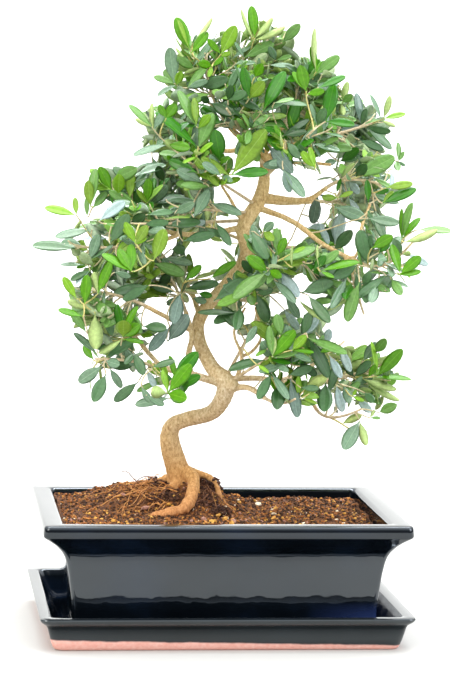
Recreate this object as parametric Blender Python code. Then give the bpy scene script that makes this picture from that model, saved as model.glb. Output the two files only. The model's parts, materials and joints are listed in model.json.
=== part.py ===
"""An olive bonsai in its glazed oblong pot, standing in a matching drip tray.

Blender 4.5 script. The tables below are in millimetres and the objects are in metres, with +Z up.
The origin is the middle of the tray's underside, +X runs along the pot's long side and the front
of the tree faces -Y. Pot, tray, soil, trunk, each bough and each mass of foliage is one object.
"""
import math
import random
from collections import namedtuple

import bmesh
import bpy
from mathutils import Matrix, Vector, noise
from mathutils.bvhtree import BVHTree

MM = 0.001
GAP = 0.35              # air kept between two pieces that meet
CLEAR = 0.45            # air kept between foliage and whatever it passes

# Pot: (height, half its length) up the outer wall, then up the cavity. A half depth is POT_INSET less.
POT_INSET = 25.0
POT_FOOT = 4.6
POT_RIM = 68.2
POT_WALL = ((POT_FOOT, 82.9), (6.4, 83.8), (19.0, 84.0), (39.5, 86.4), (46.0, 87.7), (52.0, 90.2),
            (56.2, 94.0), (59.4, 98.4), (60.8, 100.4), (62.0, 101.0), (66.8, 100.8), (POT_RIM, 99.8))
POT_CAVITY = ((12.0, 77.0), (40.0, 79.5), (50.0, 83.0), (58.0, 87.8), (66.0, 88.8), (POT_RIM, 90.6),
              (70.0, 92.0))
POT_CORNER = 3.0
CORNER_STEPS = 2

# Tray: the same, with a half depth TRAY_INSET less.
TRAY_INSET = 22.0
TRAY_FLOOR = 4.3
TRAY_WALL = ((0.0, 94.0), (1.4, 95.2), (9.0, 97.6), (13.0, 98.9), (15.6, 101.8), (17.3, 102.5),
             (18.3, 101.8))
TRAY_CAVITY = ((TRAY_FLOOR, 86.5), (8.0, 91.0), (18.3, 96.0), (20.0, 96.6))
TRAY_CORNER = 4.5

# Soil: level at its left and right ends, slope towards the back, and its broad uneven relief.
SOIL_LEFT, SOIL_RIGHT = 64.9, 61.2
SOIL_SLOPE = 0.022
RELIEF = 2.4
RELIEF_SIZE = 18.0
SOIL_CELLS = (22, 16)

# Mounds that the tree and its right root stand on: middle, rise, and reach to the left, right and back.
Mound = namedtuple("Mound", "x y rise left right depth")
MOUNDS = (Mound(-24.0, 24.0, 13.9, 47.0, 34.0, 26.0), Mound(-8.0, 9.0, 5.5, 15.0, 9.0, 15.0))

# Trunk: middle line and thickness, from the flat cut at soil level to the fork of its leader.
GROUND = 62.0
CUT_SIZE = 200.0
TRUNK = ((-18, 17, 60, 21), (-18, 16, 76, 16.4), (-21, 16, 88, 13.1), (-25.5, 14, 103, 11.2),
         (-24, 11, 112, 9.2), (-17, 8, 116, 8.5), (-2, 0, 122, 8.8), (4, -7, 138, 10.2),
         (-4, -4, 147, 8.2), (-11, 3, 162, 7.3), (-9, 9, 176, 7.2), (8, 8, 197, 7.1),
         (14.5, 1, 211, 6.9), (12, -4, 226, 7.6), (21.5, -2, 242.5, 7.7), (24.5, 4, 257, 5.7),
         (23, 7, 267, 5.1), (15, 8, 275, 4.4))
BURLS = ((6.5, -10, 137.5, 8.4), (-22.5, 9.5, 77, 7.4), (12.5, -4.6, 227, 7.6))

# Roots that show above the soil, as far as they go down into it: route and thickness.
ROOTS = {
    "front": ((-16, 12, 86, 7.2), (-12.5, 7, 82, 7.2), (-13.6, 0, 77, 6.8), (-17, -6, 70.4, 6.6),
              (-23, -9, 66.4, 6.0), (-31, -11, 64.6, 5.0), (-38, -11, 63.0, 3.6)),
    "right": ((-17, 14, 86, 6.4), (-8, 13, 84, 4.8), (-2, 10, 82, 3.8), (1.6, 8, 77, 3.6),
              (3, 6, 70, 3.4), (4, 5, 61, 3.0)),
    "back": ((-17, 18, 84, 8), (-12, 27, 79, 7), (-7, 35, 71, 6), (-3, 41, 61, 5)),
    "left": ((-19, 18, 82, 8), (-28, 22, 78, 6.6), (-36, 25, 71, 5.4), (-43, 28, 61, 4.4)),
}

# Boughs: the limb that carries each, its route from inside that limb, and its thickness at both ends.
BOUGH_ROWS = {
    "top_left": ("trunk", ((17, 8, 273), (7, 5, 279), (-2, 2, 291)), 3.6, 2.6),
    "top_middle": ("trunk", ((16, 8, 274), (13, 10, 284), (12, 12, 296)), 3.8, 2.6),
    "top_right": ("trunk", ((24, 6, 266), (29, 1, 276), (34, -4, 285)), 3.0, 2.4),
    "upper_right": ("trunk", ((24, 6, 264), (40, 16, 271), (60, 24, 276)), 3.4, 2.4),
    "upper_left": ("trunk", ((19, 8, 271), (7, 17, 268), (-5, 26, 268)), 2.8, 2.2),
    "right_shoulder": ("trunk", ((21, -2, 244), (38, -8, 242), (48, -14, 243), (57, -18, 250)), 5.0, 2.8),
    "right_back": ("trunk", ((21, -1, 241), (38, 14, 239), (62, 38, 239)), 4.4, 2.6),
    "right_long": ("trunk", ((18, -3, 238), (39, -13, 230), (55, -24, 218), (76, -36, 208)), 4.0, 2.4),
    "right_drop": ("right_long", ((66, -30, 212), (68, -35, 207), (69, -39, 202)), 2.4, 2.2),
    "low_right": ("trunk", ((4, -7, 141), (24, -4, 141), (46, 2, 137), (64, 6, 139)), 3.4, 2.2),
    "low_front": ("trunk", ((4, -7, 135), (15, -14, 137), (24, -23, 132)), 3.8, 2.4),
    "low_drop": ("low_right", ((46, 2, 137), (50, -5, 132), (55, -12, 124)), 2.2, 2.0),
    "low_back": ("low_right", ((34, -1, 139), (46, 16, 141), (58, 31, 145)), 2.4, 2.2),
    "left_low": ("trunk", ((2, -6, 138), (-17, -12, 144), (-32, -20, 148), (-42, -25, 151)), 4.6, 2.6),
    "left_foot": ("left_low", ((-21, -14, 145), (-23, -19, 144), (-25, -24, 142)), 2.2, 2.0),
    "left_riser": ("left_low", ((-17, -12, 144), (-18, -10, 155), (-16, -6, 165), (-19, 1, 178)), 3.6, 2.6),
    "left_out": ("left_riser", ((-16.5, -5, 168), (-31, -14, 176), (-44, -20, 183)), 2.6, 2.2),
    "left_mid": ("left_low", ((-34, -21, 149), (-41, -13, 156), (-45, -6, 161)), 2.6, 2.2),
    "left_long": ("trunk", ((12, -4, 226), (-9, -2, 222), (-27, 1, 222), (-38, 2, 227)), 3.4, 2.2),
    "left_tip": ("left_long", ((-22, 0, 222), (-37, -6, 217), (-52, -11, 215)), 2.4, 2.2),
    "back_left": ("trunk", ((-10, 8, 174), (-13, 32, 187), (-21, 44, 198)), 3.0, 2.2),
}

# Foliage: the limb that each mass grows on (the place, where that is the trunk), the middle of its
# space, half the space's width, depth and height, and how many shoots it has.
MASS_ROWS = {
    "top_left": ("top_left", None, (-9, -4, 315), (27, 24, 31), 6),
    "top_middle": ("top_middle", None, (23, 10, 321), (28, 25, 29), 6),
    "top_right": ("top_right", None, (53, -7, 303), (25, 24, 32), 5),
    "upper_right": ("upper_right", None, (83, 26, 283), (26, 25, 28), 5),
    "upper_left": ("upper_left", None, (-28, 32, 271), (26, 24, 26), 5),
    "upper_middle": ("trunk", (24, 4, 260), (2, -27, 288), (30, 24, 27), 5),
    "upper_front": ("trunk", (24, 2, 252), (42, -36, 278), (27, 24, 26), 5),
    "upper_near_left": ("trunk", (18, -3, 239), (-17, -32, 260), (26, 24, 26), 5),
    "upper_back": ("trunk", (24.5, 4, 255), (44, 46, 294), (29, 28, 29), 5),
    "right_shoulder": ("right_shoulder", None, (79, -18, 251), (30, 25, 27), 5),
    "right_back": ("right_back", None, (84, 53, 235), (31, 28, 29), 5),
    "right_tip": ("right_long", None, (97, -40, 221), (34, 28, 26), 6),
    "right_drop": ("right_drop", None, (72, -48, 189), (26, 24, 27), 5),
    "centre_right": ("trunk", (15, 0, 213), (60, 4, 215), (28, 25, 26), 5),
    "left_upper": ("left_long", None, (-57, 3, 239), (34, 28, 26), 6),
    "left_tip": ("left_tip", None, (-75, -13, 215), (31, 25, 22), 5),
    "left_front": ("trunk", (12, -4, 229), (-43, -44, 230), (29, 26, 25), 5),
    "left_near": ("trunk", (16, -4, 235), (-19, -22, 237), (25, 22, 22), 4),
    "left_inner": ("trunk", (13, -2, 219), (-16, 36, 229), (27, 24, 24), 4),
    "left_low": ("left_out", None, (-66, -22, 189), (29, 25, 28), 6),
    "left_bottom": ("left_low", None, (-63, -27, 153), (25, 25, 30), 5),
    "left_middle": ("left_riser", None, (-31, 4, 200), (28, 25, 26), 5),
    "left_back_low": ("left_mid", None, (-50, 10, 168), (24, 24, 24), 4),
    "left_foot": ("left_foot", None, (-31, -39, 143), (23, 22, 22), 4),
    "back_left": ("back_left", None, (-35, 57, 213), (32, 28, 29), 5),
    "back_middle": ("trunk", (4, 10, 193), (27, 55, 205), (30, 28, 29), 5),
    "centre_front": ("trunk", (14, 3, 208), (36, -44, 210), (32, 26, 26), 5),
    "centre": ("trunk", (-1, 10, 187), (14, -25, 186), (24, 22, 23), 4),
    "middle": ("trunk", (4, -7, 141), (26, 20, 176), (27, 23, 24), 4),
    "low_rosette": ("trunk", (5, -8, 137), (38, -37, 166), (26, 24, 24), 5),
    "low_right": ("low_right", None, (88, 8, 146), (28, 25, 23), 5),
    "low_front": ("low_front", None, (34, -40, 134), (26, 23, 20), 4),
    "low_drop": ("low_drop", None, (71, -21, 126), (24, 23, 27), 4),
    "low_back": ("low_back", None, (74, 46, 154), (29, 27, 23), 4),
}
Bough = namedtuple("Bough", "limb route foot tip")
Mass = namedtuple("Mass", "limb place middle reach shoots")
BOUGHS = {name: Bough(*row) for name, row in BOUGH_ROWS.items()}
MASSES = {name: Mass(*row) for name, row in MASS_ROWS.items()}

# Growth rule of the foliage: a stem for each mass.
STEM = (1.35, 1.1)           # radius at its foot and tip
STEM_RUNS = 3
STEM_BEND = 0.45             # how far along it keeps its limb's direction
STEM_PAST = 0.35             # how far past the middle it goes, of the space's smallest half width

# Shoots that fan out from the stem.
SHOOT = (0.85, 0.7)
SHOOT_FEET = (0.4, 0.5, 0.6, 0.7, 0.8, 0.9)
SHOOT_REACH = 0.42           # how far towards the edge of the space a shoot's tip goes
REACH_SPREAD = (0.9, 1.08)
TURN_COST = 1.5              # what a shoot pays for leaving its stem, which falls as it leans along it
TIP_LIMIT = 0.9              # share of the space that a shoot's tip may reach
STEM_TIP = 0.2               # where on its last run the leafy tip of the stem begins

# Leaves in pairs, each pair a quarter turn on from the last.
LEAF_LENGTH = (22.0, 28.0)
LEAF_WIDTH = 0.46            # of its length
LEAF_THICKNESS = 0.9
LEAF_SHOULDER = 0.2          # where along the leaf it is thickest, and below where it is widest
LEAF_BELLY = 0.46
LEAF_SUNK = 0.3              # how far its root is sunk into the twig
LEAF_APART = 0.12            # air between leaves of one mass, past the first part of the blade
BLADE_START = 0.16
TIP_NODE = 2.0               # from a shoot's tip back to its last pair of leaves
INTERNODE = 8.0
LEAFY_SHARE = 0.92           # of a shoot's length, past which it has no leaves
TIP_OPENING, PAIR_OPENING = 32.0, 56.0
OPENING_SPREAD = (-8.0, 10.0)
MOST_PAIRS = 3
MOST_LEAVES = 14             # on one mass
SPACE_EDGE = 1.06            # share of the space that a leaf's tip may reach

# A leaf that doesn't fit is tried again, turned and opened further, and a little smaller.
LEAF_TRIES = 6
FIRST_LOOSE, MORE_LOOSE = 0.25, 0.15
MORE_OPEN = 4.0
SHRINK = 0.055
LIFT = (-0.08, 0.25)

# What the upper face of a leaf looks to: a side at random, out of the crown, along the twig and up.
SIDE_SHARE, OUT_SHARE, TWIG_SHARE, UP_SHARE = 0.9, 0.25, 0.25, 0.5
CROWN_AXIS = (12.0, 4.0)
GOLDEN_ANGLE = math.pi * (3.0 - math.sqrt(5.0))
SEED = 1904

# Finishes: base colour, roughness, metallic.
FINISHES = {
    "glaze": ((0.006, 0.010, 0.016), 0.12, 0.0),
    "soil": ((0.110, 0.046, 0.022), 0.95, 0.0),
    "bark": ((0.480, 0.340, 0.200), 0.85, 0.0),
    "leaf": ((0.060, 0.150, 0.085), 0.45, 0.0),
}


def clear_scene():
    for old in list(bpy.data.objects):
        bpy.data.objects.remove(old, do_unlink=True)


def collection(name):
    group = bpy.data.collections.new(name)
    bpy.context.scene.collection.children.link(group)
    return group


def finish(name):
    colour, roughness, metallic = FINISHES[name]
    material = bpy.data.materials.get(name)
    if material is None:
        material = bpy.data.materials.new(name)
        material.use_nodes = True
        shader = material.node_tree.nodes["Principled BSDF"]
        shader.inputs["Base Color"].default_value = (*colour, 1.0)
        shader.inputs["Roughness"].default_value = roughness
        shader.inputs["Metallic"].default_value = metallic
    return material


def add_mesh(name, shape, group):
    """A new object in the group, from a bmesh in millimetres, which is freed."""
    bmesh.ops.scale(shape, vec=(MM, MM, MM), verts=shape.verts)
    mesh = bpy.data.meshes.new(name)
    shape.to_mesh(mesh)
    shape.free()
    thing = bpy.data.objects.new(name, mesh)
    group.objects.link(thing)
    return thing


def apply_modifiers(thing):
    graph = bpy.context.evaluated_depsgraph_get()
    mesh = bpy.data.meshes.new_from_object(thing.evaluated_get(graph))
    thing.modifiers.clear()
    old = thing.data
    thing.data = mesh
    bpy.data.meshes.remove(old)


def boolean(thing, operation, other):
    """Cut or join one object, or a whole collection of them, and remove what was used."""
    before = thing.data.copy()
    for solver in ("EXACT", "MANIFOLD"):
        step = thing.modifiers.new(operation.lower(), "BOOLEAN")
        step.operation = operation
        step.solver = solver
        if isinstance(other, bpy.types.Collection):
            step.operand_type = "COLLECTION"
            step.collection = other
            used = list(other.objects)
        else:
            step.object = other
            used = [other]
        bpy.context.view_layer.update()
        apply_modifiers(thing)
        if closed(thing):
            break
        thing.data = before.copy()
    bpy.data.meshes.remove(before)
    for helper in used:
        bpy.data.objects.remove(helper, do_unlink=True)


def closed(thing):
    """Whether a cut or a union came out as a whole body, with no open edge."""
    shape = bmesh.new()
    shape.from_mesh(thing.data)
    whole = len(shape.faces) > 3 and all(edge.is_manifold for edge in shape.edges)
    shape.free()
    return whole


def keep_largest_body(thing):
    """Drop the loose scraps that a cut or a union leaves."""
    shape = bmesh.new()
    shape.from_mesh(thing.data)
    waiting = set(shape.verts)
    bodies = []
    while waiting:
        body = {waiting.pop()}
        edge_of_body = list(body)
        while edge_of_body:
            vertex = edge_of_body.pop()
            for edge in vertex.link_edges:
                near = edge.other_vert(vertex)
                if near in waiting:
                    waiting.remove(near)
                    body.add(near)
                    edge_of_body.append(near)
        bodies.append(body)
    bodies.sort(key=len, reverse=True)
    for scrap in bodies[1:]:
        bmesh.ops.delete(shape, geom=list(scrap), context="VERTS")
    shape.to_mesh(thing.data)
    shape.free()


def settle(thing, finish_name, smooth_angle):
    thing.data.materials.clear()
    thing.data.materials.append(finish(finish_name))
    thing.data.shade_smooth()
    thing.data.set_sharp_from_angle(angle=math.radians(smooth_angle))


# Pot, tray and soil

def stepped_box(profile, inset, corner, shrink=0.0):
    """An oblong body: a rectangle with rounded corners, extruded upwards through the profile's sizes."""
    shape = bmesh.new()
    height, half = profile[0]
    width, depth = half - shrink, half - inset - shrink
    bmesh.ops.create_grid(shape, x_segments=1, y_segments=1, size=1.0)
    bmesh.ops.scale(shape, vec=(width, depth, 1.0), verts=shape.verts)
    bmesh.ops.translate(shape, vec=(0.0, 0.0, height + shrink), verts=shape.verts)
    bmesh.ops.bevel(shape, geom=list(shape.verts), offset=corner, segments=CORNER_STEPS, profile=0.5,
                    affect="VERTICES")
    top = shape.faces[:]
    for step, (height, half) in enumerate(profile[1:]):
        new_width, new_depth = half - shrink, half - inset - shrink
        made = bmesh.ops.extrude_face_region(shape, geom=top)["geom"]
        if step > 0:
            bmesh.ops.delete(shape, geom=top, context="FACES_ONLY")
        top = [part for part in made if isinstance(part, bmesh.types.BMFace)]
        ring = [part for part in made if isinstance(part, bmesh.types.BMVert)]
        for vertex in ring:
            vertex.co.x *= new_width / width
            vertex.co.y *= new_depth / depth
            vertex.co.z = height
        width, depth = new_width, new_depth
    bmesh.ops.recalc_face_normals(shape, faces=shape.faces)
    return shape


def make_tray(group, helpers):
    tray = add_mesh("tray", stepped_box(TRAY_WALL, TRAY_INSET, TRAY_CORNER), group)
    hollow = add_mesh("tray_hollow", stepped_box(TRAY_CAVITY, TRAY_INSET, TRAY_CORNER), helpers)
    boolean(tray, "DIFFERENCE", hollow)
    settle(tray, "glaze", 25)
    return tray


def make_pot(group, helpers):
    pot = add_mesh("pot", stepped_box(POT_WALL, POT_INSET, POT_CORNER), group)
    hollow = add_mesh("pot_hollow", stepped_box(POT_CAVITY, POT_INSET, POT_CORNER), helpers)
    boolean(pot, "DIFFERENCE", hollow)
    settle(pot, "glaze", 25)
    return pot


def soil_height(x, y):
    half = POT_CAVITY[-1][1]
    height = SOIL_LEFT + (SOIL_RIGHT - SOIL_LEFT) * (x + half) / (2.0 * half) + SOIL_SLOPE * y
    for mound in MOUNDS:
        across = abs(x - mound.x) / (mound.left if x < mound.x else mound.right)
        along = abs(y - mound.y) / mound.depth
        height += mound.rise * math.exp(-across ** 3 - along ** 3)
    return height + RELIEF * noise.noise(Vector((x, y, 0.0)) / RELIEF_SIZE)


def make_soil(group, helpers, trunk_cutter):
    """A slab with the mound on top, cut to the pot's cavity and around the foot of the trunk."""
    half = POT_CAVITY[-1][1]
    depth = half - POT_INSET
    shape = bmesh.new()
    bmesh.ops.create_grid(shape, x_segments=SOIL_CELLS[0], y_segments=SOIL_CELLS[1], size=1.0)
    top = list(shape.verts)
    for vertex in top:
        vertex.co = (vertex.co.x * half, vertex.co.y * depth, 0.0)
        vertex.co.z = soil_height(vertex.co.x, vertex.co.y)
    rim = [edge for edge in shape.edges if edge.is_boundary]
    made = bmesh.ops.extrude_edge_only(shape, edges=rim)["geom"]
    low = [part for part in made if isinstance(part, bmesh.types.BMVert)]
    for vertex in low:
        vertex.co.z = 0.0
    bmesh.ops.contextual_create(shape, geom=[edge for edge in shape.edges if edge.is_boundary])
    bmesh.ops.recalc_face_normals(shape, faces=shape.faces)
    soil = add_mesh("soil", shape, group)
    bounds = add_mesh("soil_bounds", stepped_box(POT_CAVITY, POT_INSET, POT_CORNER, GAP), helpers)
    boolean(soil, "INTERSECT", bounds)
    boolean(soil, "DIFFERENCE", trunk_cutter)
    keep_largest_body(soil)
    settle(soil, "soil", 60)
    return soil


# Limbs

def smooth_route(points, steps):
    """Points on a smooth curve through the given rows, whose columns may include a thickness."""
    rows = [Vector(row) for row in points]
    ends = [rows[0] * 2 - rows[1]] + rows + [rows[-1] * 2 - rows[-2]]
    route = []
    for before, start, end, after in zip(ends, ends[1:], ends[2:], ends[3:]):
        for step in range(steps):
            t = step / steps
            route.append(0.5 * ((2 * start) + (end - before) * t
                                + (2 * before - 5 * start + 4 * end - after) * t ** 2
                                + (3 * start - before - 3 * end + after) * t ** 3))
    route.append(rows[-1])
    return route


def tube(name, route, group, sides_level, swell=0.0):
    """A limb: a curve with the route's own thickness at each point and closed ends, made a mesh."""
    curve = bpy.data.curves.new(name, "CURVE")
    curve.dimensions = "3D"
    curve.bevel_depth = MM
    curve.bevel_resolution = sides_level
    curve.use_fill_caps = True
    curve.twist_mode = "MINIMUM"
    spline = curve.splines.new("POLY")
    spline.points.add(len(route) - 1)
    for point, row in zip(spline.points, route):
        point.co = (row[0] * MM, row[1] * MM, row[2] * MM, 1.0)
        point.radius = row[3] / 2.0 + swell
    guide = bpy.data.objects.new(name, curve)
    group.objects.link(guide)
    bpy.context.view_layer.update()
    graph = bpy.context.evaluated_depsgraph_get()
    mesh = bpy.data.meshes.new_from_object(guide.evaluated_get(graph))
    bpy.data.objects.remove(guide, do_unlink=True)
    bpy.data.curves.remove(curve)
    shape = bmesh.new()
    shape.from_mesh(mesh)
    bmesh.ops.remove_doubles(shape, verts=shape.verts, dist=1e-6)
    bmesh.ops.recalc_face_normals(shape, faces=shape.faces)
    shape.to_mesh(mesh)
    shape.free()
    limb = bpy.data.objects.new(name, mesh)
    group.objects.link(limb)
    return limb


def ball(name, x, y, z, size, group, swell=0.0):
    shape = bmesh.new()
    bmesh.ops.create_icosphere(shape, subdivisions=1, radius=size / 2.0 + swell)
    bmesh.ops.translate(shape, vec=(x, y, z), verts=shape.verts)
    return add_mesh(name, shape, group)


def make_trunk(name, group, helpers, swell=0.0):
    """Trunk, root flare and burls in one body, cut off flat at soil level."""
    trunk = tube(name, lengthened(smooth_route(TRUNK, 2), swell), group, 2, swell)
    growths = collection(name + "_growths")
    for root, points in ROOTS.items():
        tube("root_" + root, lengthened(smooth_route(points, 1), swell), growths, 1, swell)
    for number, (x, y, z, size) in enumerate(BURLS):
        ball(f"burl_{number}", x, y, z, size, growths, swell)
    boolean(trunk, "UNION", growths)
    bpy.data.collections.remove(growths)
    shape = bmesh.new()
    bmesh.ops.create_cube(shape, size=CUT_SIZE)
    bmesh.ops.translate(shape, vec=(0.0, 0.0, GROUND - swell - CUT_SIZE / 2), verts=shape.verts)
    boolean(trunk, "DIFFERENCE", add_mesh("ground_cut", shape, helpers))
    keep_largest_body(trunk)
    return trunk


def bough_route(name):
    bough = BOUGHS[name]
    taper = (bough.tip - bough.foot) / (len(bough.route) - 1)
    rows = [(*point, bough.foot + taper * index) for index, point in enumerate(bough.route)]
    return smooth_route(rows, 2)


def lengthened(route, extra):
    """The same route with its tip carried on by a little, so that a cutter clears the tip too."""
    last, before = route[-1], route[-2]
    onward = (last - before).normalized() * extra
    onward[3] = 0.0
    return route[:-1] + [last + onward]


def make_boughs(group, helpers):
    """Each bough starts inside the limb that carries it and is cut back to just clear of it."""
    boughs = {}
    for name in BOUGHS:
        bough = tube("bough_" + name, bough_route(name), group, 1)
        boolean(bough, "DIFFERENCE", make_trunk("trunk_cutter", helpers, helpers, GAP))
        for other in boughs:
            cutter = tube("bough_cutter", lengthened(bough_route(other), GAP), helpers, 1, GAP)
            if tree_of(bough).overlap(tree_of(cutter)):
                boolean(bough, "DIFFERENCE", cutter)
            else:
                bpy.data.objects.remove(cutter, do_unlink=True)
        keep_largest_body(bough)
        settle(bough, "bark", 60)
        boughs[name] = bough
    return boughs


def tree_of(thing):
    shape = bmesh.new()
    shape.from_mesh(thing.data)
    bmesh.ops.scale(shape, vec=(1.0 / MM, 1.0 / MM, 1.0 / MM), verts=shape.verts)
    tree = BVHTree.FromBMesh(shape)
    shape.free()
    return tree


# Foliage: the shapes

def twig_shape(start, end, foot, tip, swell=0.0):
    """A three-sided twig from one point to another. Its flats are half as far out as its corners."""
    run = end - start
    shape = bmesh.new()
    bmesh.ops.create_cone(shape, cap_ends=True, segments=3, radius1=foot + 2 * swell,
                          radius2=tip + 2 * swell, depth=run.length + 2 * swell)
    turn = run.to_track_quat("Z", "Y").to_matrix().to_4x4()
    bmesh.ops.transform(shape, matrix=Matrix.Translation((start + end) / 2) @ turn, verts=shape.verts)
    return shape


def leaf_shape(root, heading, upward, length, swell=0.0, bare=0.0):
    """A leaf: an eight-faced ball drawn out to a point at both ends. Bare leaves out its root end."""
    shape = bmesh.new()
    bmesh.ops.create_uvsphere(shape, u_segments=4, v_segments=2, radius=1.0)
    across = upward.cross(heading).normalized()
    face = heading.cross(across).normalized()
    half_width = length * LEAF_WIDTH / 2 + swell
    half_thickness = LEAF_THICKNESS / 2 + swell
    for vertex in shape.verts:
        x, y, z = vertex.co
        if abs(z) > 0.5:
            along = length + swell if z > 0 else length * bare - swell
            vertex.co = root + heading * along
        elif abs(x) > 0.5:
            vertex.co = root + heading * length * LEAF_BELLY + across * math.copysign(half_width, x)
        else:
            place = length * max(LEAF_SHOULDER, bare + 0.1)
            vertex.co = root + heading * place + face * math.copysign(half_thickness, y)
    bmesh.ops.recalc_face_normals(shape, faces=shape.faces)
    return shape


def stem_shape(points, helpers, swell=0.0):
    """The stem of a mass: a four-sided limb, tapering from its foot to its tip."""
    count = len(points) - 1
    rows = []
    for number, point in enumerate(points):
        rows.append(Vector((*point, 2.0 * (STEM[0] + (STEM[1] - STEM[0]) * number / count))))
    guide = tube("stem", rows, helpers, 0, swell)
    shape = bmesh.new()
    shape.from_mesh(guide.data)
    bmesh.ops.scale(shape, vec=(1.0 / MM, 1.0 / MM, 1.0 / MM), verts=shape.verts)
    bpy.data.objects.remove(guide, do_unlink=True)
    return shape


class Growth:
    """Everything that grows, so that each new twig or leaf can be tested against the rest."""

    def __init__(self, limbs):
        self.limbs = [tree_of(limb) for limb in limbs]
        self.pieces = []

    def free_of_limbs(self, shape):
        tree = BVHTree.FromBMesh(shape)
        return not any(tree.overlap(limb) for limb in self.limbs)

    def free_of_others(self, shape, owner, same):
        """True when the shape touches no piece of another mass (or, with same, of its own)."""
        middle, reach = ball_around(shape)
        tree = BVHTree.FromBMesh(shape)
        for piece in self.pieces:
            near = (piece["middle"] - middle).length < piece["reach"] + reach
            if (piece["owner"] == owner) == same and near and tree.overlap(piece["tree"]):
                return False
        return True

    def add(self, owner, kind, shape, tip=None):
        middle, reach = ball_around(shape)
        self.pieces.append({"owner": owner, "kind": kind, "shape": shape, "tree": BVHTree.FromBMesh(shape),
                            "middle": middle, "reach": reach, "tip": tip})


def ball_around(shape):
    middle = sum((vertex.co for vertex in shape.verts), Vector()) / len(shape.verts)
    return middle, max((vertex.co - middle).length for vertex in shape.verts)


# Foliage: the growth rule

def share_of_space(point, name):
    """0 at the middle of the mass's space and 1 at its edge."""
    middle, reach = MASSES[name].middle, MASSES[name].reach
    return Vector([(point[k] - middle[k]) / reach[k] for k in range(3)]).length


def in_own_space(point, name, limit):
    """Inside the mass's own space, and nearer to its middle than to any other mass's."""
    share = share_of_space(point, name)
    if share > limit:
        return False
    return all(share < share_of_space(point, other) for other in MASSES if other != name)


def on_trunk(place):
    """The trunk's middle, thickness and direction nearest to a place."""
    route = smooth_route(TRUNK, 4)
    index = min(range(1, len(route) - 1), key=lambda k: (route[k].to_3d() - Vector(place)).length)
    direction = (route[index + 1].to_3d() - route[index - 1].to_3d()).normalized()
    return route[index].to_3d(), route[index][3], direction


def stem_route(name):
    """From just clear of the limb, in the limb's direction, bending to beyond the middle of the space."""
    mass = MASSES[name]
    middle = Vector(mass.middle)
    if mass.limb == "trunk":
        centre, thickness, direction = on_trunk(mass.place)
        heading = (middle - centre).normalized()
        lean = abs(heading.dot(direction))
        away = (thickness / 2 + GAP + STEM[0] * lean) / math.sqrt(1.0 - lean ** 2)
        start = centre + heading * away
    else:
        route = bough_route(mass.limb)
        heading = (route[-1].to_3d() - route[-2].to_3d()).normalized()
        start = route[-1].to_3d() + heading * GAP
    onward = (middle - start).normalized()
    end = middle + onward * min(mass.reach) * STEM_PAST
    bend = start + heading * (end - start).length * STEM_BEND
    points = []
    for step in range(STEM_RUNS + 1):
        t = step / STEM_RUNS
        points.append(start * (1 - t) ** 2 + bend * 2 * t * (1 - t) + end * t ** 2)
    tilt = heading.angle(points[1] - points[0])
    points[0] += heading * STEM[0] * math.sin(tilt)
    return points


def point_on(points, t):
    """The point a share t of the way along a route, and the route's direction there."""
    place = min(t * (len(points) - 1), len(points) - 1.001)
    index = int(place)
    start, end = points[index], points[index + 1]
    return start.lerp(end, place - index), (end - start).normalized()


def shoot_routes(name, stem, chance):
    """Shoots fan out from the stem to places spread evenly round the space by the golden angle."""
    mass = MASSES[name]
    turn = chance.uniform(0.0, 2 * math.pi)
    routes = []
    for number in range(mass.shoots):
        height = 1.0 - (2.0 * number + 1.0) / mass.shoots
        flat = math.sqrt(1.0 - height ** 2)
        angle = turn + number * GOLDEN_ANGLE
        aim = Vector((math.cos(angle) * flat, math.sin(angle) * flat, height))
        push = SHOOT_REACH * chance.uniform(*REACH_SPREAD)
        tip = Vector([mass.middle[k] + mass.reach[k] * aim[k] * push for k in range(3)])
        best = None
        for t in SHOOT_FEET:
            foot, direction = point_on(stem, t)
            run = tip - foot
            cost = run.length * (TURN_COST - run.normalized().dot(direction))
            if share_of_space(foot, name) < 1.0 and (best is None or cost < best[0]):
                best = (cost, foot)
        if best is not None:
            routes.append((best[1], tip))
    return routes


def facing(place, direction, chance):
    """Where a leaf's upper face looks: up, out of the crown, and somewhat at random."""
    around = chance.uniform(0.0, 2.0 * math.pi)
    side = Vector((math.cos(around), math.sin(around), 0.0))
    outward = Vector((place.x - CROWN_AXIS[0], place.y - CROWN_AXIS[1], 0.0)).normalized()
    if side.dot(outward) < 0.0:
        side.negate()
    return side * SIDE_SHARE + outward * OUT_SHARE + direction * TWIG_SHARE + Vector((0.0, 0.0, UP_SHARE))


def leaf_tries(foot, tip, pair, half, turn, chance):
    """Ways for one leaf of a pair to stand: each pair is a quarter turn on from the last."""
    direction = (tip - foot).normalized()
    side = direction.orthogonal().normalized()
    node = tip - direction * (TIP_NODE + pair * INTERNODE)
    opening = TIP_OPENING if pair == 0 else PAIR_OPENING
    for trial in range(LEAF_TRIES):
        loose = FIRST_LOOSE + MORE_LOOSE * trial
        around = turn + math.pi * half + math.pi / 2 * pair + chance.uniform(-loose, loose)
        out = Matrix.Rotation(around, 3, direction) @ side
        angle = math.radians(opening + chance.uniform(*OPENING_SPREAD) + MORE_OPEN * trial)
        heading = direction * math.cos(angle) + out * math.sin(angle)
        heading = (heading + Vector((0.0, 0.0, chance.uniform(*LIFT)))).normalized()
        size = chance.uniform(*LEAF_LENGTH) * (1.0 - SHRINK * trial)
        yield node - heading * LEAF_SUNK, heading, facing(node, direction, chance), size


def grow_stems(growth, helpers):
    stems = {}
    for name in MASSES:
        stems[name] = stem_route(name)
        growth.add(name, "stem", stem_shape(stems[name], helpers))
    return stems


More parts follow.
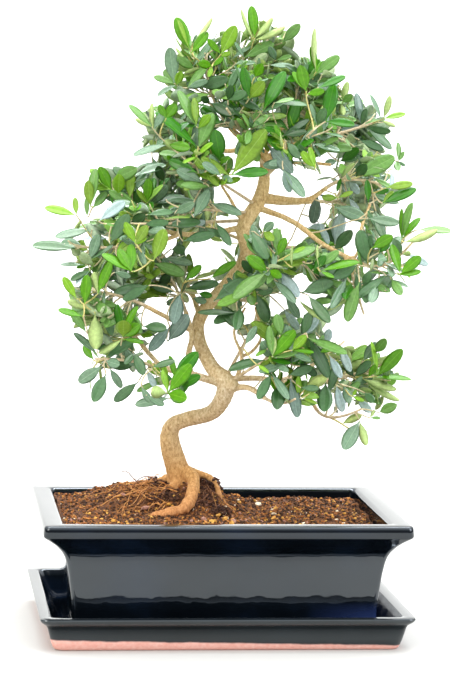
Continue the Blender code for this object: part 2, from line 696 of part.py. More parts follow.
def grow_shoots(growth, stems):
    shoots = []
    for number, name in enumerate(MASSES):
        chance = random.Random(SEED + number)
        for foot, tip in shoot_routes(name, stems[name], chance):
            wide = twig_shape(foot, tip, *SHOOT, swell=CLEAR)
            if not in_own_space(tip, name, TIP_LIMIT) or not growth.free_of_limbs(wide):
                continue
            if growth.free_of_others(wide, name, False):
                growth.add(name, "shoot", twig_shape(foot, tip, *SHOOT), tip)
                shoots.append((name, foot, tip))
        end, before = stems[name][-1], stems[name][-2]
        shoots.append((name, before.lerp(end, STEM_TIP), end))
    return shoots


def fits(growth, name, root, heading, upward, size):
    middle, point = root + heading * size * 0.5, root + heading * size
    if not in_own_space(middle, name, 1.0) or share_of_space(point, name) > SPACE_EDGE:
        return False
    wide = leaf_shape(root, heading, upward, size, CLEAR)
    blade = leaf_shape(root, heading, upward, size, LEAF_APART, BLADE_START)
    free = (growth.free_of_limbs(wide) and growth.free_of_others(wide, name, False)
            and growth.free_of_others(blade, name, True))
    wide.free()
    blade.free()
    return free


def grow_leaves(growth, shoots):
    """The tip pairs of all shoots first, then the pairs behind them, so that the outline fills first."""
    chances = [random.Random(SEED * 2 + number) for number in range(len(shoots))]
    turns = [chance.uniform(0.0, math.pi) for chance in chances]
    count = dict.fromkeys(MASSES, 0)
    bare = set(range(len(shoots)))
    for pair in range(MOST_PAIRS):
        for number, (name, foot, tip) in enumerate(shoots):
            if pair and TIP_NODE + pair * INTERNODE > (tip - foot).length * LEAFY_SHARE:
                continue
            for half in (0, 1):
                if count[name] == MOST_LEAVES:
                    break
                for leaf in leaf_tries(foot, tip, pair, half, turns[number], chances[number]):
                    if fits(growth, name, *leaf):
                        growth.add(name, "leaf", leaf_shape(*leaf))
                        count[name] += 1
                        bare.discard(number)
                        break
    return [shoots[number] for number in bare]


def make_masses(group, helpers, limbs):
    growth = Growth(limbs)
    stems = grow_stems(growth, helpers)
    shoots = grow_shoots(growth, stems)
    bare = [tip for name, foot, tip in grow_leaves(growth, shoots)]
    for name in MASSES:
        pieces = [piece for piece in growth.pieces if piece["owner"] == name]
        pieces = [piece for piece in pieces if piece["kind"] != "shoot" or piece["tip"] not in bare]
        mass = add_mesh("foliage_" + name, pieces[0]["shape"], group)
        rest = collection("rest_of_" + name)
        for piece in pieces[1:]:
            add_mesh(piece["kind"], piece["shape"], rest)
        boolean(mass, "UNION", rest)
        bpy.data.collections.remove(rest)
        keep_largest_body(mass)
        settle(mass, "leaf", 40)


def main():
    clear_scene()
    group = collection("olive_bonsai")
    helpers = collection("cutters")
    make_tray(group, helpers)
    make_pot(group, helpers)
    make_soil(group, helpers, make_trunk("trunk_cutter", helpers, helpers, GAP))
    trunk = make_trunk("trunk", group, helpers)
    settle(trunk, "bark", 60)
    boughs = make_boughs(group, helpers)
    make_masses(group, helpers, [trunk, *boughs.values()])
    bpy.data.collections.remove(helpers)


main()
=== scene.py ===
"""The looks of the olive bonsai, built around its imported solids.

Every table is in millimetres. The objects are in metres, +X along the pot, -Y to the front, +Z up.
"""
import json
import math
import random
from collections import namedtuple

import bpy
import numpy as np
from mathutils import Euler, Matrix, Vector, noise
from mathutils.kdtree import KDTree

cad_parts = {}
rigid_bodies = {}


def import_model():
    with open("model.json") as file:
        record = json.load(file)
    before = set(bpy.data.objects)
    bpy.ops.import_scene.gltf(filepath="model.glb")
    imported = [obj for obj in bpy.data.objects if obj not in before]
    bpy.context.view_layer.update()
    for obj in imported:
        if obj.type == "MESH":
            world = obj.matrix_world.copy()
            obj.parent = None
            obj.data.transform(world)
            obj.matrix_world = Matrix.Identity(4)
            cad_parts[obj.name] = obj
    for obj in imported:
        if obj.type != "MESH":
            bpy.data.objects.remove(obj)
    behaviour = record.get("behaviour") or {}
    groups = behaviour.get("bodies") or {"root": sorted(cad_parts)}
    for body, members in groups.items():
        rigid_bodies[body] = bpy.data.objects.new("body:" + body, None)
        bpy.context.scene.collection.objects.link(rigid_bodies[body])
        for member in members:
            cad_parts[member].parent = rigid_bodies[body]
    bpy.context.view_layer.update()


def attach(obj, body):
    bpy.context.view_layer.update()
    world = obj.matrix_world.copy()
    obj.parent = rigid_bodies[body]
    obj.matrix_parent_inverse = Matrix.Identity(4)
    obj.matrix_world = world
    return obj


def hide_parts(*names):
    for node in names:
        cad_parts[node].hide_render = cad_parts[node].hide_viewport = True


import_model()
MM = 0.001
SEED = 1904

# Camera: where the photo was taken from. The photo is 450 x 675.
CAMERA_PLACE = (-184.96, -1625.06, 323.21)
CAMERA_TURN = (84.427, -1.119, -6.503)
SENSOR = 36.0
LENS = 155.73

# Pot: (height, half its length) up the outer wall, and down the inner one. Half its depth is POT_INSET less.
POT_INSET = 25.0
POT_CORNER = 3.0
POT_WALL = ((4.6, 82.9), (6.4, 83.8), (19.0, 84.0), (29.0, 85.1), (39.5, 86.4), (46.0, 87.7), (49.2, 88.7),
            (52.0, 90.2), (54.2, 91.9), (56.2, 93.8), (58.3, 96.3), (59.9, 98.5), (60.8, 99.7))
POT_LIP = ((61.3, 100.4), (61.9, 100.9), (62.8, 101.1), (66.4, 100.8), (67.3, 100.6), (67.9, 100.1),
           (68.2, 99.3))
POT_MOUTH = ((68.2, 91.6), (68.0, 90.6), (67.4, 89.7), (66.4, 89.1), (65.0, 88.8), (58.0, 87.8), (50.0, 83.0),
             (40.0, 79.5))

# Tray: the same, with TRAY_INSET.
TRAY_INSET = 22.0
TRAY_CORNER = 4.5
TRAY_WALL = ((0.0, 93.6), (0.3, 94.1), (1.4, 95.0), (5.0, 96.3), (9.0, 97.4), (12.2, 98.2), (13.6, 98.9),
             (14.8, 100.4), (15.8, 101.6), (16.8, 102.3), (17.5, 102.5), (18.0, 102.3), (18.3, 101.6))
TRAY_MOUTH = ((18.3, 97.0), (18.1, 96.3), (17.5, 95.8), (8.0, 91.0), (5.2, 89.0), (4.4, 86.9))

# Soil: level at its left and right ends, slope towards the back, and its broad uneven relief.
SOIL_LEFT, SOIL_RIGHT = 64.9, 61.2
SOIL_HALF = 92.0
SOIL_SLOPE = 0.022
RELIEF = 2.4
RELIEF_SIZE = 18.0

# Mounds that the tree and its right root stand on: middle, rise, and reach to the left, right and back.
Mound = namedtuple("Mound", "x y rise left right depth")
MOUNDS = (Mound(-24.0, 24.0, 13.9, 47.0, 34.0, 26.0), Mound(-8.0, 9.0, 5.5, 15.0, 9.0, 15.0))

# Trunk: middle line and thickness from soil level to the fork of the leader, then its burls and roots.
TRUNK = ((-18, 17, 60, 21), (-18, 16, 76, 16.4), (-21, 16, 88, 13.1), (-25.5, 14, 103, 11.2),
         (-24, 11, 112, 9.2), (-17, 8, 116, 8.5), (-2, 0, 122, 8.8), (4, -7, 138, 10.2),
         (-4, -4, 147, 8.2), (-11, 3, 162, 7.3), (-9, 9, 176, 7.2), (8, 8, 197, 7.1),
         (14.5, 1, 211, 6.9), (12, -4, 226, 7.6), (21.5, -2, 242.5, 7.7), (24.5, 4, 257, 5.7),
         (23, 7, 267, 5.1), (15, 8, 275, 4.4))
BURLS = ((6.5, -10, 137.5, 8.4), (-22.5, 9.5, 77, 7.4), (12.5, -4.6, 227, 7.6))
ROOTS = {
    "front": ((-16, 12, 86, 7.2), (-12.5, 7, 82, 7.4), (-13.2, 1, 77, 6.7), (-14.9, -4, 72, 6.9),
              (-17.8, -7, 68.4, 7.1), (-22, -9, 66.4, 5.6), (-26, -10.4, 65.6, 5.9), (-30, -11, 64.8, 4.9),
              (-34, -11, 64.0, 4.6), (-38, -11, 63.0, 3.2)),
    "right": ((-17, 14, 86, 6.4), (-8, 13, 84, 4.4), (-2, 10, 82, 3.4), (1.6, 8, 77, 3.2),
              (3, 6, 70, 2.8), (4, 5, 61, 2.2)),
    "back": ((-17, 18, 84, 8), (-12, 27, 79, 7), (-7, 35, 71, 6), (-3, 41, 61, 5)),
    "left": ((-19, 18, 82, 8), (-28, 22, 78, 6.6), (-36, 25, 71, 5.4), (-43, 28, 61, 4.4)),
}

# Boughs: the limb that carries each, its route from inside that limb, and its thickness at both ends.
BOUGH_ROWS = {
    "top_left": ("trunk", ((17, 8, 273), (7, 5, 279), (-2, 2, 291)), 3.6, 2.6),
    "top_middle": ("trunk", ((16, 8, 274), (13, 10, 284), (12, 12, 296)), 3.8, 2.6),
    "top_right": ("trunk", ((24, 6, 266), (29, 1, 276), (34, -4, 285)), 3.0, 2.4),
    "upper_right": ("trunk", ((24, 6, 264), (40, 16, 271), (60, 24, 276)), 3.4, 2.4),
    "upper_left": ("trunk", ((19, 8, 271), (7, 17, 268), (-5, 26, 268)), 2.8, 2.2),
    "right_shoulder": ("trunk", ((21, -2, 244), (38, -8, 242), (48, -14, 243), (57, -18, 250)), 3.7, 2.2),
    "right_back": ("trunk", ((21, -1, 241), (38, 14, 239), (62, 38, 239)), 2.8, 2.0),
    "right_long": ("trunk", ((18, -3, 238), (39, -13, 230), (55, -24, 218), (76, -36, 208)), 3.3, 2.0),
    "right_drop": ("right_long", ((66, -30, 212), (68, -35, 207), (69, -39, 202)), 2.4, 2.2),
    "low_right": ("trunk", ((4, -7, 141), (24, -4, 141), (46, 2, 137), (64, 6, 139)), 3.4, 2.2),
    "low_front": ("trunk", ((4, -7, 135), (15, -14, 137), (24, -23, 132)), 3.8, 2.4),
    "low_drop": ("low_right", ((46, 2, 137), (50, -5, 132), (55, -12, 124)), 2.2, 2.0),
    "low_back": ("low_right", ((34, -1, 139), (46, 16, 141), (58, 31, 145)), 2.4, 2.2),
    "left_low": ("trunk", ((2, -6, 138), (-17, -12, 144), (-32, -20, 148), (-42, -25, 151)), 4.6, 2.6),
    "left_foot": ("left_low", ((-21, -14, 145), (-23, -19, 144), (-25, -24, 142)), 2.2, 2.0),
    "left_riser": ("left_low", ((-17, -12, 144), (-18, -10, 155), (-16, -6, 165), (-19, 1, 178)), 3.6, 2.6),
    "left_out": ("left_riser", ((-16.5, -5, 168), (-31, -14, 176), (-44, -20, 183)), 2.6, 2.2),
    "left_mid": ("left_low", ((-34, -21, 149), (-41, -13, 156), (-45, -6, 161)), 2.6, 2.2),
    "left_long": ("trunk", ((12, -4, 226), (-9, -2, 222), (-27, 1, 222), (-38, 2, 227)), 3.4, 2.2),
    "left_tip": ("left_long", ((-22, 0, 222), (-37, -6, 217), (-52, -11, 215)), 2.4, 2.2),
    "back_left": ("trunk", ((-10, 8, 174), (-13, 32, 187), (-21, 44, 198)), 3.0, 2.2),
}

# Thin limbs among the boughs: route and thickness at both ends.
BRANCHLETS = (
    (((58, -19, 216), (71, -33, 212), (75, -28, 228), (81, -20, 241)), 2.2, 1.4),
    (((9, -8, 140), (11.5, -10, 149), (11.5, -10, 156), (7, -12, 168), (13, -13, 182)), 2.4, 1.3),
    (((11.5, -10, 154), (18, -9, 157), (23, -8, 166), (19, -9, 182)), 2.0, 1.3),
    (((24, 4, 258), (34, -2, 262), (46, -8, 263), (60, -10, 262)), 2.2, 1.5),
    (((12, -4, 228), (5, -9, 240), (-2, -14, 250)), 2.0, 1.4),
    (((14, 1, 213), (28, -6, 208), (40, -12, 202)), 1.8, 1.2),
)

# Foliage: the limb that each mass grows on (the place, where that is the trunk), the middle of its
# space, half the space's width, depth and height, and how many shoots it has.
MASS_ROWS = {
    "top_left": ("top_left", None, (-9, -4, 315), (27, 24, 31), 6),
    "top_middle": ("top_middle", None, (23, 10, 321), (28, 25, 29), 6),
    "top_right": ("top_right", None, (53, -7, 303), (25, 24, 32), 5),
    "upper_right": ("upper_right", None, (83, 26, 283), (26, 25, 28), 5),
    "upper_left": ("upper_left", None, (-28, 32, 271), (26, 24, 26), 5),
    "upper_middle": ("trunk", (24, 4, 260), (2, -27, 288), (30, 24, 27), 5),
    "upper_front": ("trunk", (24, 2, 252), (42, -36, 278), (27, 24, 26), 5),
    "upper_near_left": ("trunk", (18, -3, 239), (-17, -32, 260), (26, 24, 26), 5),
    "upper_back": ("trunk", (24.5, 4, 255), (44, 46, 294), (29, 28, 29), 5),
    "right_shoulder": ("right_shoulder", None, (79, -18, 251), (30, 25, 27), 5),
    "right_back": ("right_back", None, (84, 53, 235), (31, 28, 29), 5),
    "right_tip": ("right_long", None, (97, -40, 221), (34, 28, 26), 6),
    "right_drop": ("right_drop", None, (72, -48, 189), (26, 24, 27), 5),
    "centre_right": ("trunk", (15, 0, 213), (60, 4, 215), (28, 25, 26), 5),
    "left_upper": ("left_long", None, (-57, 3, 239), (34, 28, 26), 6),
    "left_tip": ("left_tip", None, (-75, -13, 215), (31, 25, 22), 5),
    "left_front": ("trunk", (12, -4, 229), (-43, -44, 230), (29, 26, 25), 5),
    "left_near": ("trunk", (16, -4, 235), (-19, -22, 237), (25, 22, 22), 4),
    "left_inner": ("trunk", (13, -2, 219), (-16, 36, 229), (27, 24, 24), 4),
    "left_low": ("left_out", None, (-66, -22, 189), (29, 25, 28), 6),
    "left_bottom": ("left_low", None, (-63, -27, 153), (25, 25, 30), 5),
    "left_middle": ("left_riser", None, (-31, 4, 200), (28, 25, 26), 5),
    "left_back_low": ("left_mid", None, (-50, 10, 168), (24, 24, 24), 4),
    "left_foot": ("left_foot", None, (-31, -39, 143), (23, 22, 22), 4),
    "back_left": ("back_left", None, (-35, 57, 213), (32, 28, 29), 5),
    "back_middle": ("trunk", (4, 10, 193), (27, 55, 205), (30, 28, 29), 5),
    "centre_front": ("trunk", (14, 3, 208), (36, -44, 210), (32, 26, 26), 5),
    "centre": ("trunk", (-1, 10, 187), (14, -25, 186), (24, 22, 23), 4),
    "middle": ("trunk", (4, -7, 141), (26, 20, 176), (27, 23, 24), 4),
    "low_rosette": ("trunk", (5, -8, 137), (38, -37, 166), (26, 24, 24), 5),
    "low_right": ("low_right", None, (88, 8, 146), (28, 25, 23), 5),
    "low_front": ("low_front", None, (34, -40, 134), (26, 23, 20), 4),
    "low_drop": ("low_drop", None, (71, -21, 126), (24, 23, 27), 4),
    "low_back": ("low_back", None, (74, 46, 154), (29, 27, 23), 4),
}
Bough = namedtuple("Bough", "limb route foot tip")
Mass = namedtuple("Mass", "limb place middle reach shoots")
Spray = namedtuple("Spray", "mass route foot tip age parent", defaults=(None,))
BOUGHS = {name: Bough(*row) for name, row in BOUGH_ROWS.items()}
MASSES = {name: Mass(*row) for name, row in MASS_ROWS.items()}

# The reading grid, in millimetres, lies square to the camera's line of sight at this distance, and the line
# meets it at this place across and up. The sprays, the sky and the crown's edge were read on it.
GRID_DISTANCE = 1646.4
GRID_MIDDLE = (3.2, 162.2)

# Sprays that the photo shows, by the mass that bears them. Each has its node, across and up on the reading
# grid, and its leaves: angle from +X towards up, length, width, tone.
SPRAYS = {
    "top_middle": (
        (20, 331, ((96, 18, 6, "bright"), (46, 15, 4, "pale"), (25, 19, 4, "pale"), (118, 19, 2.5, "pale"))),
        (14, 320, ((27, 19, 7.5, "fresh"), (120, 10, 2.5, "sheen"))),
        (35.5, 328.5, ((47, 14, 6, "fresh"),)),
        (32, 318.5, ((17, 9, 3, "fresh"), (118, 8, 4.5, "sheen"))),
        (7, 319, ((38, 13, 2.5, "sheen"), (100, 9, 3, "pale"))),
    ),
    "top_left": (
        (-16.5, 324, ((114, 20, 7.5, "bright"), (113, 18, 3, "olive"), (52, 15, 5.5, "bright"))),
        (-15, 328, ((48, 18, 3, "pale"),)),
        (-15, 315, ((53, 20, 4, "sheen"), (135, 14, 2, "pale"), (148, 11, 5.5, "fresh"))),
        (1, 322, ((64, 17, 8, "young"), (133, 11, 4, "bright"), (20, 6, 3, "young"))),
        (-25.5, 305.5, ((98, 20, 8, "sheen"), (162, 12, 4, "fresh"), (207, 12, 3, "sheen"),
                        (70, 8, 5, "young"))),
        (-18, 303, ((50, 16, 5, "fresh"), (20, 12, 4.5, "sheen"))),
        (-10, 303, ((20, 15, 8, "mature"), (165, 9, 4, "mature"))),
        (-4, 315, ((165, 7, 5, "bright"), (40, 8, 3, "bright"), (250, 6, 3, "young"))),
    ),
    "top_right": (
        (54.5, 312, ((102, 14, 4, "bright"), (97, 24, 3.5, "pale"), (38, 17, 6.5, "fresh"),
                     (60, 9, 3, "bright"))),
        (50, 307, ((50, 11, 4, "fresh"),)),
        (69.5, 294.5, ((78, 12, 4, "pale"), (42, 7, 4.5, "fresh"), (-75, 7, 4, "pale"))),
    ),
    "upper_middle": (
        (-5, 294.5, ((-25, 14, 7.5, "dark"), (150, 6, 4, "dark"))),
        (5, 296, ((25, 10, 6, "mature"), (80, 8, 5, "dark"))),
        (17, 297, ((103, 17, 6, "deep"), (50, 12, 7.5, "olive"))),
        (20, 309, ((62, 8, 6, "bright"),)),
        (24.5, 290, ((63, 25, 8, "deep"), (157, 14, 4.5, "dark"), (27, 17, 4, "mature"))),
        (-13, 281, ((117, 22, 6, "fresh"), (94, 16, 4.5, "olive"), (50, 10, 5, "young"))),
        (-12, 269, ((140, 30, 5.5, "deep"), (68, 21, 8, "fresh"), (58, 13, 5, "pale"))),
        (0.5, 261.5, ((100, 17, 9, "deep"),)),
        (7, 254, ((54, 31, 11, "olive"), (6, 20, 6, "deep"), (150, 18, 6, "olive"))),
    ),
    "upper_near_left": (
        (-38, 281, ((137, 17, 4, "fresh"), (155, 10, 3, "pale"), (95, 14, 3, "pale"),
                    (60, 11, 4.5, "sheen"))),
        (-29, 271, ((197, 20, 4, "sheen"), (-8, 12, 6, "bright"))),
        (-30, 286, ((55, 9, 6, "bright"), (120, 8, 4, "bright"))),
        (-12, 255, ((158, 18, 6.5, "deep"),)),
        (-9, 249.5, ((155, 16, 7, "sheen"),)),
        (-6, 247.5, ((177, 15, 4.5, "fresh"),)),
        (-14.5, 230, ((62, 17, 7, "sheen"),)),
    ),
    "upper_front": (
        (49, 301, ((104, 14, 7, "bright"), (125, 13, 4, "bright"), (12, 10, 4.5, "bright"))),
        (56, 303, ((25, 16, 4.5, "deep"),)),
        (60, 284, ((79, 21, 8, "deep"), (-3, 16, 5, "deep"))),
        (55, 282, ((108, 12, 2.5, "sheen"), (65, 10, 6, "mature"))),
        (36, 276, ((35, 17, 4.5, "dark"), (12, 13, 4, "dark"))),
        (27.5, 270.5, ((-47, 20, 8, "violet"),)),
        (38, 272.5, ((-50, 11, 5.5, "mature"),)),
        (52, 271.5, ((-12, 16, 3.5, "sheen"), (-55, 9, 1.8, "sheen"))),
        (54, 257.5, ((107, 12, 3.5, "young"), (130, 12, 5, "young"))),
        (36, 257, ((-50, 19, 6, "sheen"), (-72, 13, 5, "violet"))),
        (31, 294.5, ((-3, 18, 3, "mature"), (15, 11, 2.5, "fresh"))),
    ),
    "upper_right": (
        (80, 281.5, ((98, 19, 5, "violet"), (75, 10, 4, "mature"), (24, 12, 3, "fresh"))),
        (92.5, 285.5, ((73, 13.5, 4, "pale"), (14, 13, 3.5, "young"), (-22, 9, 2.5, "pale"),
                       (115, 16, 2.5, "sheen"))),
        (83, 280.5, ((-8, 14, 5, "mature"), (-38, 19, 5, "mature"), (190, 13, 4.5, "violet"))),
        (79, 273.5, ((-20, 15, 5, "mature"),)),
        (68, 261.5, ((35, 13, 6, "deep"), (15, 11, 4, "mature"), (190, 7, 4, "mature"))),
        (101, 261.5, ((92, 11, 3, "fresh"), (62, 6.5, 2.5, "fresh"), (-20, 6, 2, "mature"),
                      (-70, 5, 4, "fresh"))),
    ),
    "right_shoulder": (
        (77, 253, ((28, 24, 9.5, "fresh"), (50, 8, 6, "dark"))),
        (88, 243, ((20, 8, 3, "deep"),)),
        (94, 246.5, ((12, 15, 5, "olive"),)),
        (92, 238, ((26, 20, 6, "deep"), (50, 9, 3, "olive"))),
        (87, 252, ((-25, 11, 3, "fresh"),)),
        (97.5, 257, ((-92, 11, 2.5, "mist"),)),
        (84, 238, ((95, 13, 4, "deep"),)),
        (73, 250.5, ((-50, 9, 5, "mist"),)),
        (66, 243.5, ((75, 8.5, 2.5, "deep"),)),
        (67, 241, ((180, 9, 4, "olive"), (25, 9, 3, "olive"))),
        (65, 236, ((-20, 18, 8, "sheen"),)),
        (73, 241, ((-55, 11, 4, "mist"),)),
    ),
    "centre_right": (
        (55.5, 243, ((262, 17, 7, "violet"), (-20, 8, 2, "dark"))),
        (65, 215, ((78, 17, 8, "mist"), (120, 11, 5, "dark"))),
        (64.5, 211.5, ((48, 15, 7, "mature"),)),
        (56, 227, ((-62, 13, 4, "mist"),)),
        (49.5, 224, ((8, 10, 4, "mist"), (-42, 10, 6, "olive"))),
    ),
    "right_tip": (
        (84, 203, ((105, 20, 9, "mature"),)),
        (86, 212.5, ((32, 13, 6.5, "bright"), (100, 7, 3, "dark"))),
        (90, 210, ((45, 8, 4, "deep"),)),
        (84, 229.5, ((-8, 17, 6, "sheen"),)),
        (87, 233, ((-68, 15, 5, "sheen"),)),
        (103.5, 218, ((80, 20, 4.5, "fresh"), (55, 15, 4, "bright"), (93, 18, 3, "bright"))),
        (104, 216, ((17, 20, 5, "pale"),)),
        (112, 223, ((3, 18, 4, "fresh"),)),
        (102, 198, ((107, 17, 5.5, "bright"), (42, 15, 6.5, "bright"), (10, 13, 4, "bright"))),
        (106, 209, ((-25, 13, 4.5, "mist"),)),
        (103, 209, ((120, 9, 5, "mature"), (10, 5, 3, "pale"))),
        (97, 195, ((-55, 10, 5.5, "fresh"), (-22, 10, 2, "mature"))),
    ),
    "right_drop": (
        (78, 203, ((208, 15, 7, "mature"),)),
        (72, 196, ((243, 19, 5.5, "sheen"),)),
        (77, 198, ((-78, 10, 4, "mature"),)),
        (79, 193.5, ((253, 23, 7.5, "fresh"),)),
        (94, 197, ((217, 20, 6, "mature"),)),
        (81, 191, ((65, 9, 5, "mature"),)),
        (89, 191.5, ((250, 9, 6, "sheen"),)),
    ),
    "centre_front": (
        (33, 208.5, ((93, 15, 5, "fresh"), (68, 10, 5, "bright"))),
        (33, 205, ((23, 22, 6.5, "fresh"),)),
        (41, 209.5, ((28, 8, 2.5, "young"),)),
        (41, 202, ((95, 12, 1.8, "pale"),)),
        (53, 200, ((52, 10, 5, "deep"),)),
        (56, 202, ((40, 14, 5, "fresh"), (94, 12, 1.8, "pale"))),
        (57, 199.5, ((17, 22, 4.5, "bright"), (-22, 8, 2.5, "bright"))),
        (18, 222, ((-58, 17, 8, "mature"),)),
        (25, 222, ((45, 7, 5, "sheen"), (-40, 7, 5, "olive"))),
        (27, 199.5, ((218, 24, 8, "fresh"), (143, 13, 7, "bright"), (-30, 7, 5, "bright"))),
        (33, 200, ((-50, 18, 7, "mist"),)),
        (30, 195, ((-42, 18, 5, "sheen"),)),
        (46.5, 187.5, ((20, 18, 8, "mature"),)),
        (50, 186, ((-50, 19, 6.5, "mature"),)),
    ),
    "centre": (
        (19, 198, ((130, 9, 5, "dark"),)),
        (-3, 183, ((35, 21, 8, "mature"),)),
        (10, 176, ((180, 22, 3.5, "mature"),)),
        (1, 181, ((-55, 14, 7, "dark"),)),
        (12, 179, ((-100, 12, 7, "mature"),)),
        (21, 187, ((-68, 17, 7, "mature"), (15, 9, 5, "mature"))),
        (37, 186, ((-57, 15, 5, "sheen"),)),
        (36.5, 178, ((-53, 14, 5, "mist"),)),
        (44, 184, ((-40, 20, 3, "pale"),)),
        (17, 186.5, ((-70, 6, 5, "fresh"),)),
    ),
    "left_near": (
        (-5, 238, ((-17, 18, 5.5, "sheen"),)),
        (-20.5, 216.5, ((15, 18, 6, "mature"),)),
        (-8, 224, ((-22, 12, 4, "mature"),)),
        (-2, 227, ((-55, 15, 5, "mature"),)),
        (-30, 225.5, ((8, 19, 6, "mature"),)),
        (-16, 225, ((20, 8, 4, "mist"),)),
        (-30, 240, ((-3, 16, 4, "sheen"),)),
        (-25, 232, ((30, 12, 6, "sheen"),)),
    ),
    "left_upper": (
        (-61, 245.5, ((168, 14, 4.5, "young"), (118, 14, 6.5, "bright"), (135, 18, 5, "young"))),
        (-57, 243, ((88, 10, 7.5, "young"),)),
        (-50.5, 240, ((88, 16, 6, "olive"),)),
        (-60, 251, ((27, 14, 8, "fresh"),)),
        (-72.5, 236, ((97, 14, 6, "olive"), (86, 21, 6, "fresh"), (50, 12, 5, "fresh"))),
        (-74.5, 230, ((93, 11, 3, "fresh"),)),
        (-40.5, 238.5, ((88, 13, 6, "bright"), (52, 13, 3, "young"), (125, 10, 3, "olive"))),
        (-47, 253.5, ((24, 18, 5, "sheen"),)),
        (-31, 250, ((115, 9, 6, "dark"),)),
        (-39, 237.5, ((48, 14, 7, "sheen"), (15, 20, 5, "sheen"))),
    ),
    "left_tip": (
        (-80.5, 231, ((165, 18, 5, "young"), (96, 10, 3.5, "olive"))),
        (-72, 223, ((190, 20, 5, "sheen"),)),
        (-81, 212, ((173, 24, 6, "mature"),)),
        (-62, 218, ((183, 15, 2.5, "mist"),)),
        (-75.5, 203, ((177, 14, 2.5, "sheen"),)),
        (-73, 200, ((207, 12, 4, "mature"), (222, 11, 2.5, "mist"))),
        (-73, 206, ((72, 15, 6.5, "sheen"), (33, 15, 3, "mature"))),
    ),
    "left_front": (
        (-68, 228, ((37, 18, 6.5, "mist"),)),
        (-61.5, 215.5, ((58, 18, 8, "mature"),)),
        (-50, 226, ((35, 9, 6, "dark"),)),
        (-47, 215, ((118, 13, 5, "young"), (60, 11, 6, "olive"), (30, 7, 2.5, "young"))),
        (-40.5, 231.5, ((8, 14, 4, "mature"),)),
        (-43, 226, ((5, 14, 5, "mature"),)),
        (-37, 205.5, ((72, 18, 8, "olive"),)),
        (-49.5, 199.5, ((92, 15, 6, "bright"), (122, 14, 6, "bright"), (151, 20, 5, "bright"))),
    ),
    "left_middle": (
        (-37.5, 204.5, ((-20, 19, 7, "fresh"),)),
        (-32, 207, ((-8, 17, 5, "sheen"),)),
        (-27, 212, ((0, 8, 6, "mature"),)),
        (-19, 189.5, ((12, 19, 6, "mature"),)),
        (-19, 194.5, ((45, 12, 5, "bright"),)),
        (-5, 195.5, ((35, 17, 5, "bright"),)),
        (-12, 187, ((-8, 8, 4, "deep"),)),
        (-15, 184.5, ((-15, 8, 4.5, "sheen"),)),
        (-34, 191, ((50, 9, 6, "dark"),)),
        (-24, 188, ((168, 14, 5, "mature"),)),
    ),
    "left_low": (
        (-22, 187, ((258, 17, 8, "violet"),)),
        (-43, 168.5, ((-3, 13, 6, "mature"),)),
        (-28, 168, ((230, 17, 6.5, "violet"),)),
        (-29, 160, ((54, 18, 9, "violet"),)),
        (-40, 191.5, ((193, 20, 6, "mature"), (210, 16, 6, "mature"))),
        (-59, 199, ((-15, 9, 4, "sheen"),)),
        (-80.5, 184, ((122, 14, 5, "young"),)),
        (-76, 181, ((86, 16, 6.5, "bright"),)),
        (-68.5, 187, ((101, 12, 5, "pale"), (69, 19, 6, "bright"))),
        (-74, 178.5, ((160, 12, 5, "pale"),)),
        (-77, 174, ((164, 14, 4, "bright"),)),
        (-75, 165, ((125, 15, 5, "fresh"),)),
        (-69, 153, ((137, 17, 4, "sheen"),)),
        (-70, 176, ((272, 20, 8.5, "pale"),)),
    ),
    "left_bottom": (
        (-54, 164, ((104, 17, 5, "deep"), (68, 17, 4, "bright"), (88, 9, 9, "olive"), (38, 11, 7, "bright"),
                    (-8, 12, 3, "bright"), (215, 15, 4, "pale"))),
        (-64, 151, ((33, 17, 5.5, "mature"),)),
        (-54, 157, ((-60, 12, 5, "sheen"),)),
        (-62, 145, ((10, 13, 5, "dark"), (-57, 13, 4.5, "sheen"))),
        (-64, 149, ((-15, 7, 6, "sheen"),)),
        (-66, 146, ((215, 16, 7, "sheen"),)),
        (-64, 141.5, ((247, 16, 7.5, "mature"),)),
        (-46, 137, ((220, 17, 6, "mature"),)),
        (-48, 153.5, ((-65, 13, 6, "mature"), (230, 8, 4, "mature"))),
    ),
    "left_foot": (
        (-38, 145.5, ((17, 13, 4, "mature"),)),
        (-44, 134.5, ((-60, 10, 4, "sheen"),)),
        (-41, 129.5, ((-28, 11, 4.5, "sheen"),)),
        (-41, 144, ((-62, 11, 4, "mist"),)),
        (-29, 131, ((52, 20, 8, "bright"), (103, 13, 4, "young"), (175, 9, 7, "pale"),
                    (-15, 10, 8, "bright"))),
    ),
    "low_rosette": (
        (30, 151.5, ((98, 17, 5, "fresh"), (88, 11, 3.5, "pale"), (50, 20, 8, "bright"), (16, 15, 4, "fresh"),
                     (-8, 12, 3.5, "deep"))),
        (41, 155, ((48, 11, 5.5, "young"), (-5, 12, 2.5, "bright"))),
        (35, 163.5, ((105, 12, 6, "fresh"),)),
        (14.5, 158, ((60, 12, 4.5, "sheen"),)),
        (26, 149.5, ((193, 21, 5.5, "mature"),)),
        (21, 147, ((-30, 8, 2.5, "young"),)),
        (50, 162, ((-20, 23, 5.5, "fresh"), (-58, 25, 7.5, "dark"))),
        (47, 163, ((74, 14, 6, "mature"), (52, 14, 5, "mist"))),
        (60, 158, ((78, 9, 5, "mist"),)),
        (62, 152, ((-60, 14, 5, "mist"),)),
        (68, 157, ((-65, 15, 5, "mist"),)),
    ),
    "low_front": (
        (29.5, 142, ((243, 16, 6, "mature"), (-55, 17, 5, "sheen"))),
        (34, 136, ((265, 13, 8, "dark"),)),
        (40, 139, ((-77, 22, 7, "violet"),)),
        (39, 141, ((20, 14, 6, "mature"),)),
        (46, 134, ((-2, 10, 4, "mature"),)),
        (45, 148, ((-35, 12, 5, "dark"),)),
    ),
    "low_drop": (
        (60, 136.5, ((268, 16, 9, "mature"),)),
        (66, 135, ((-75, 15, 6, "mist"),)),
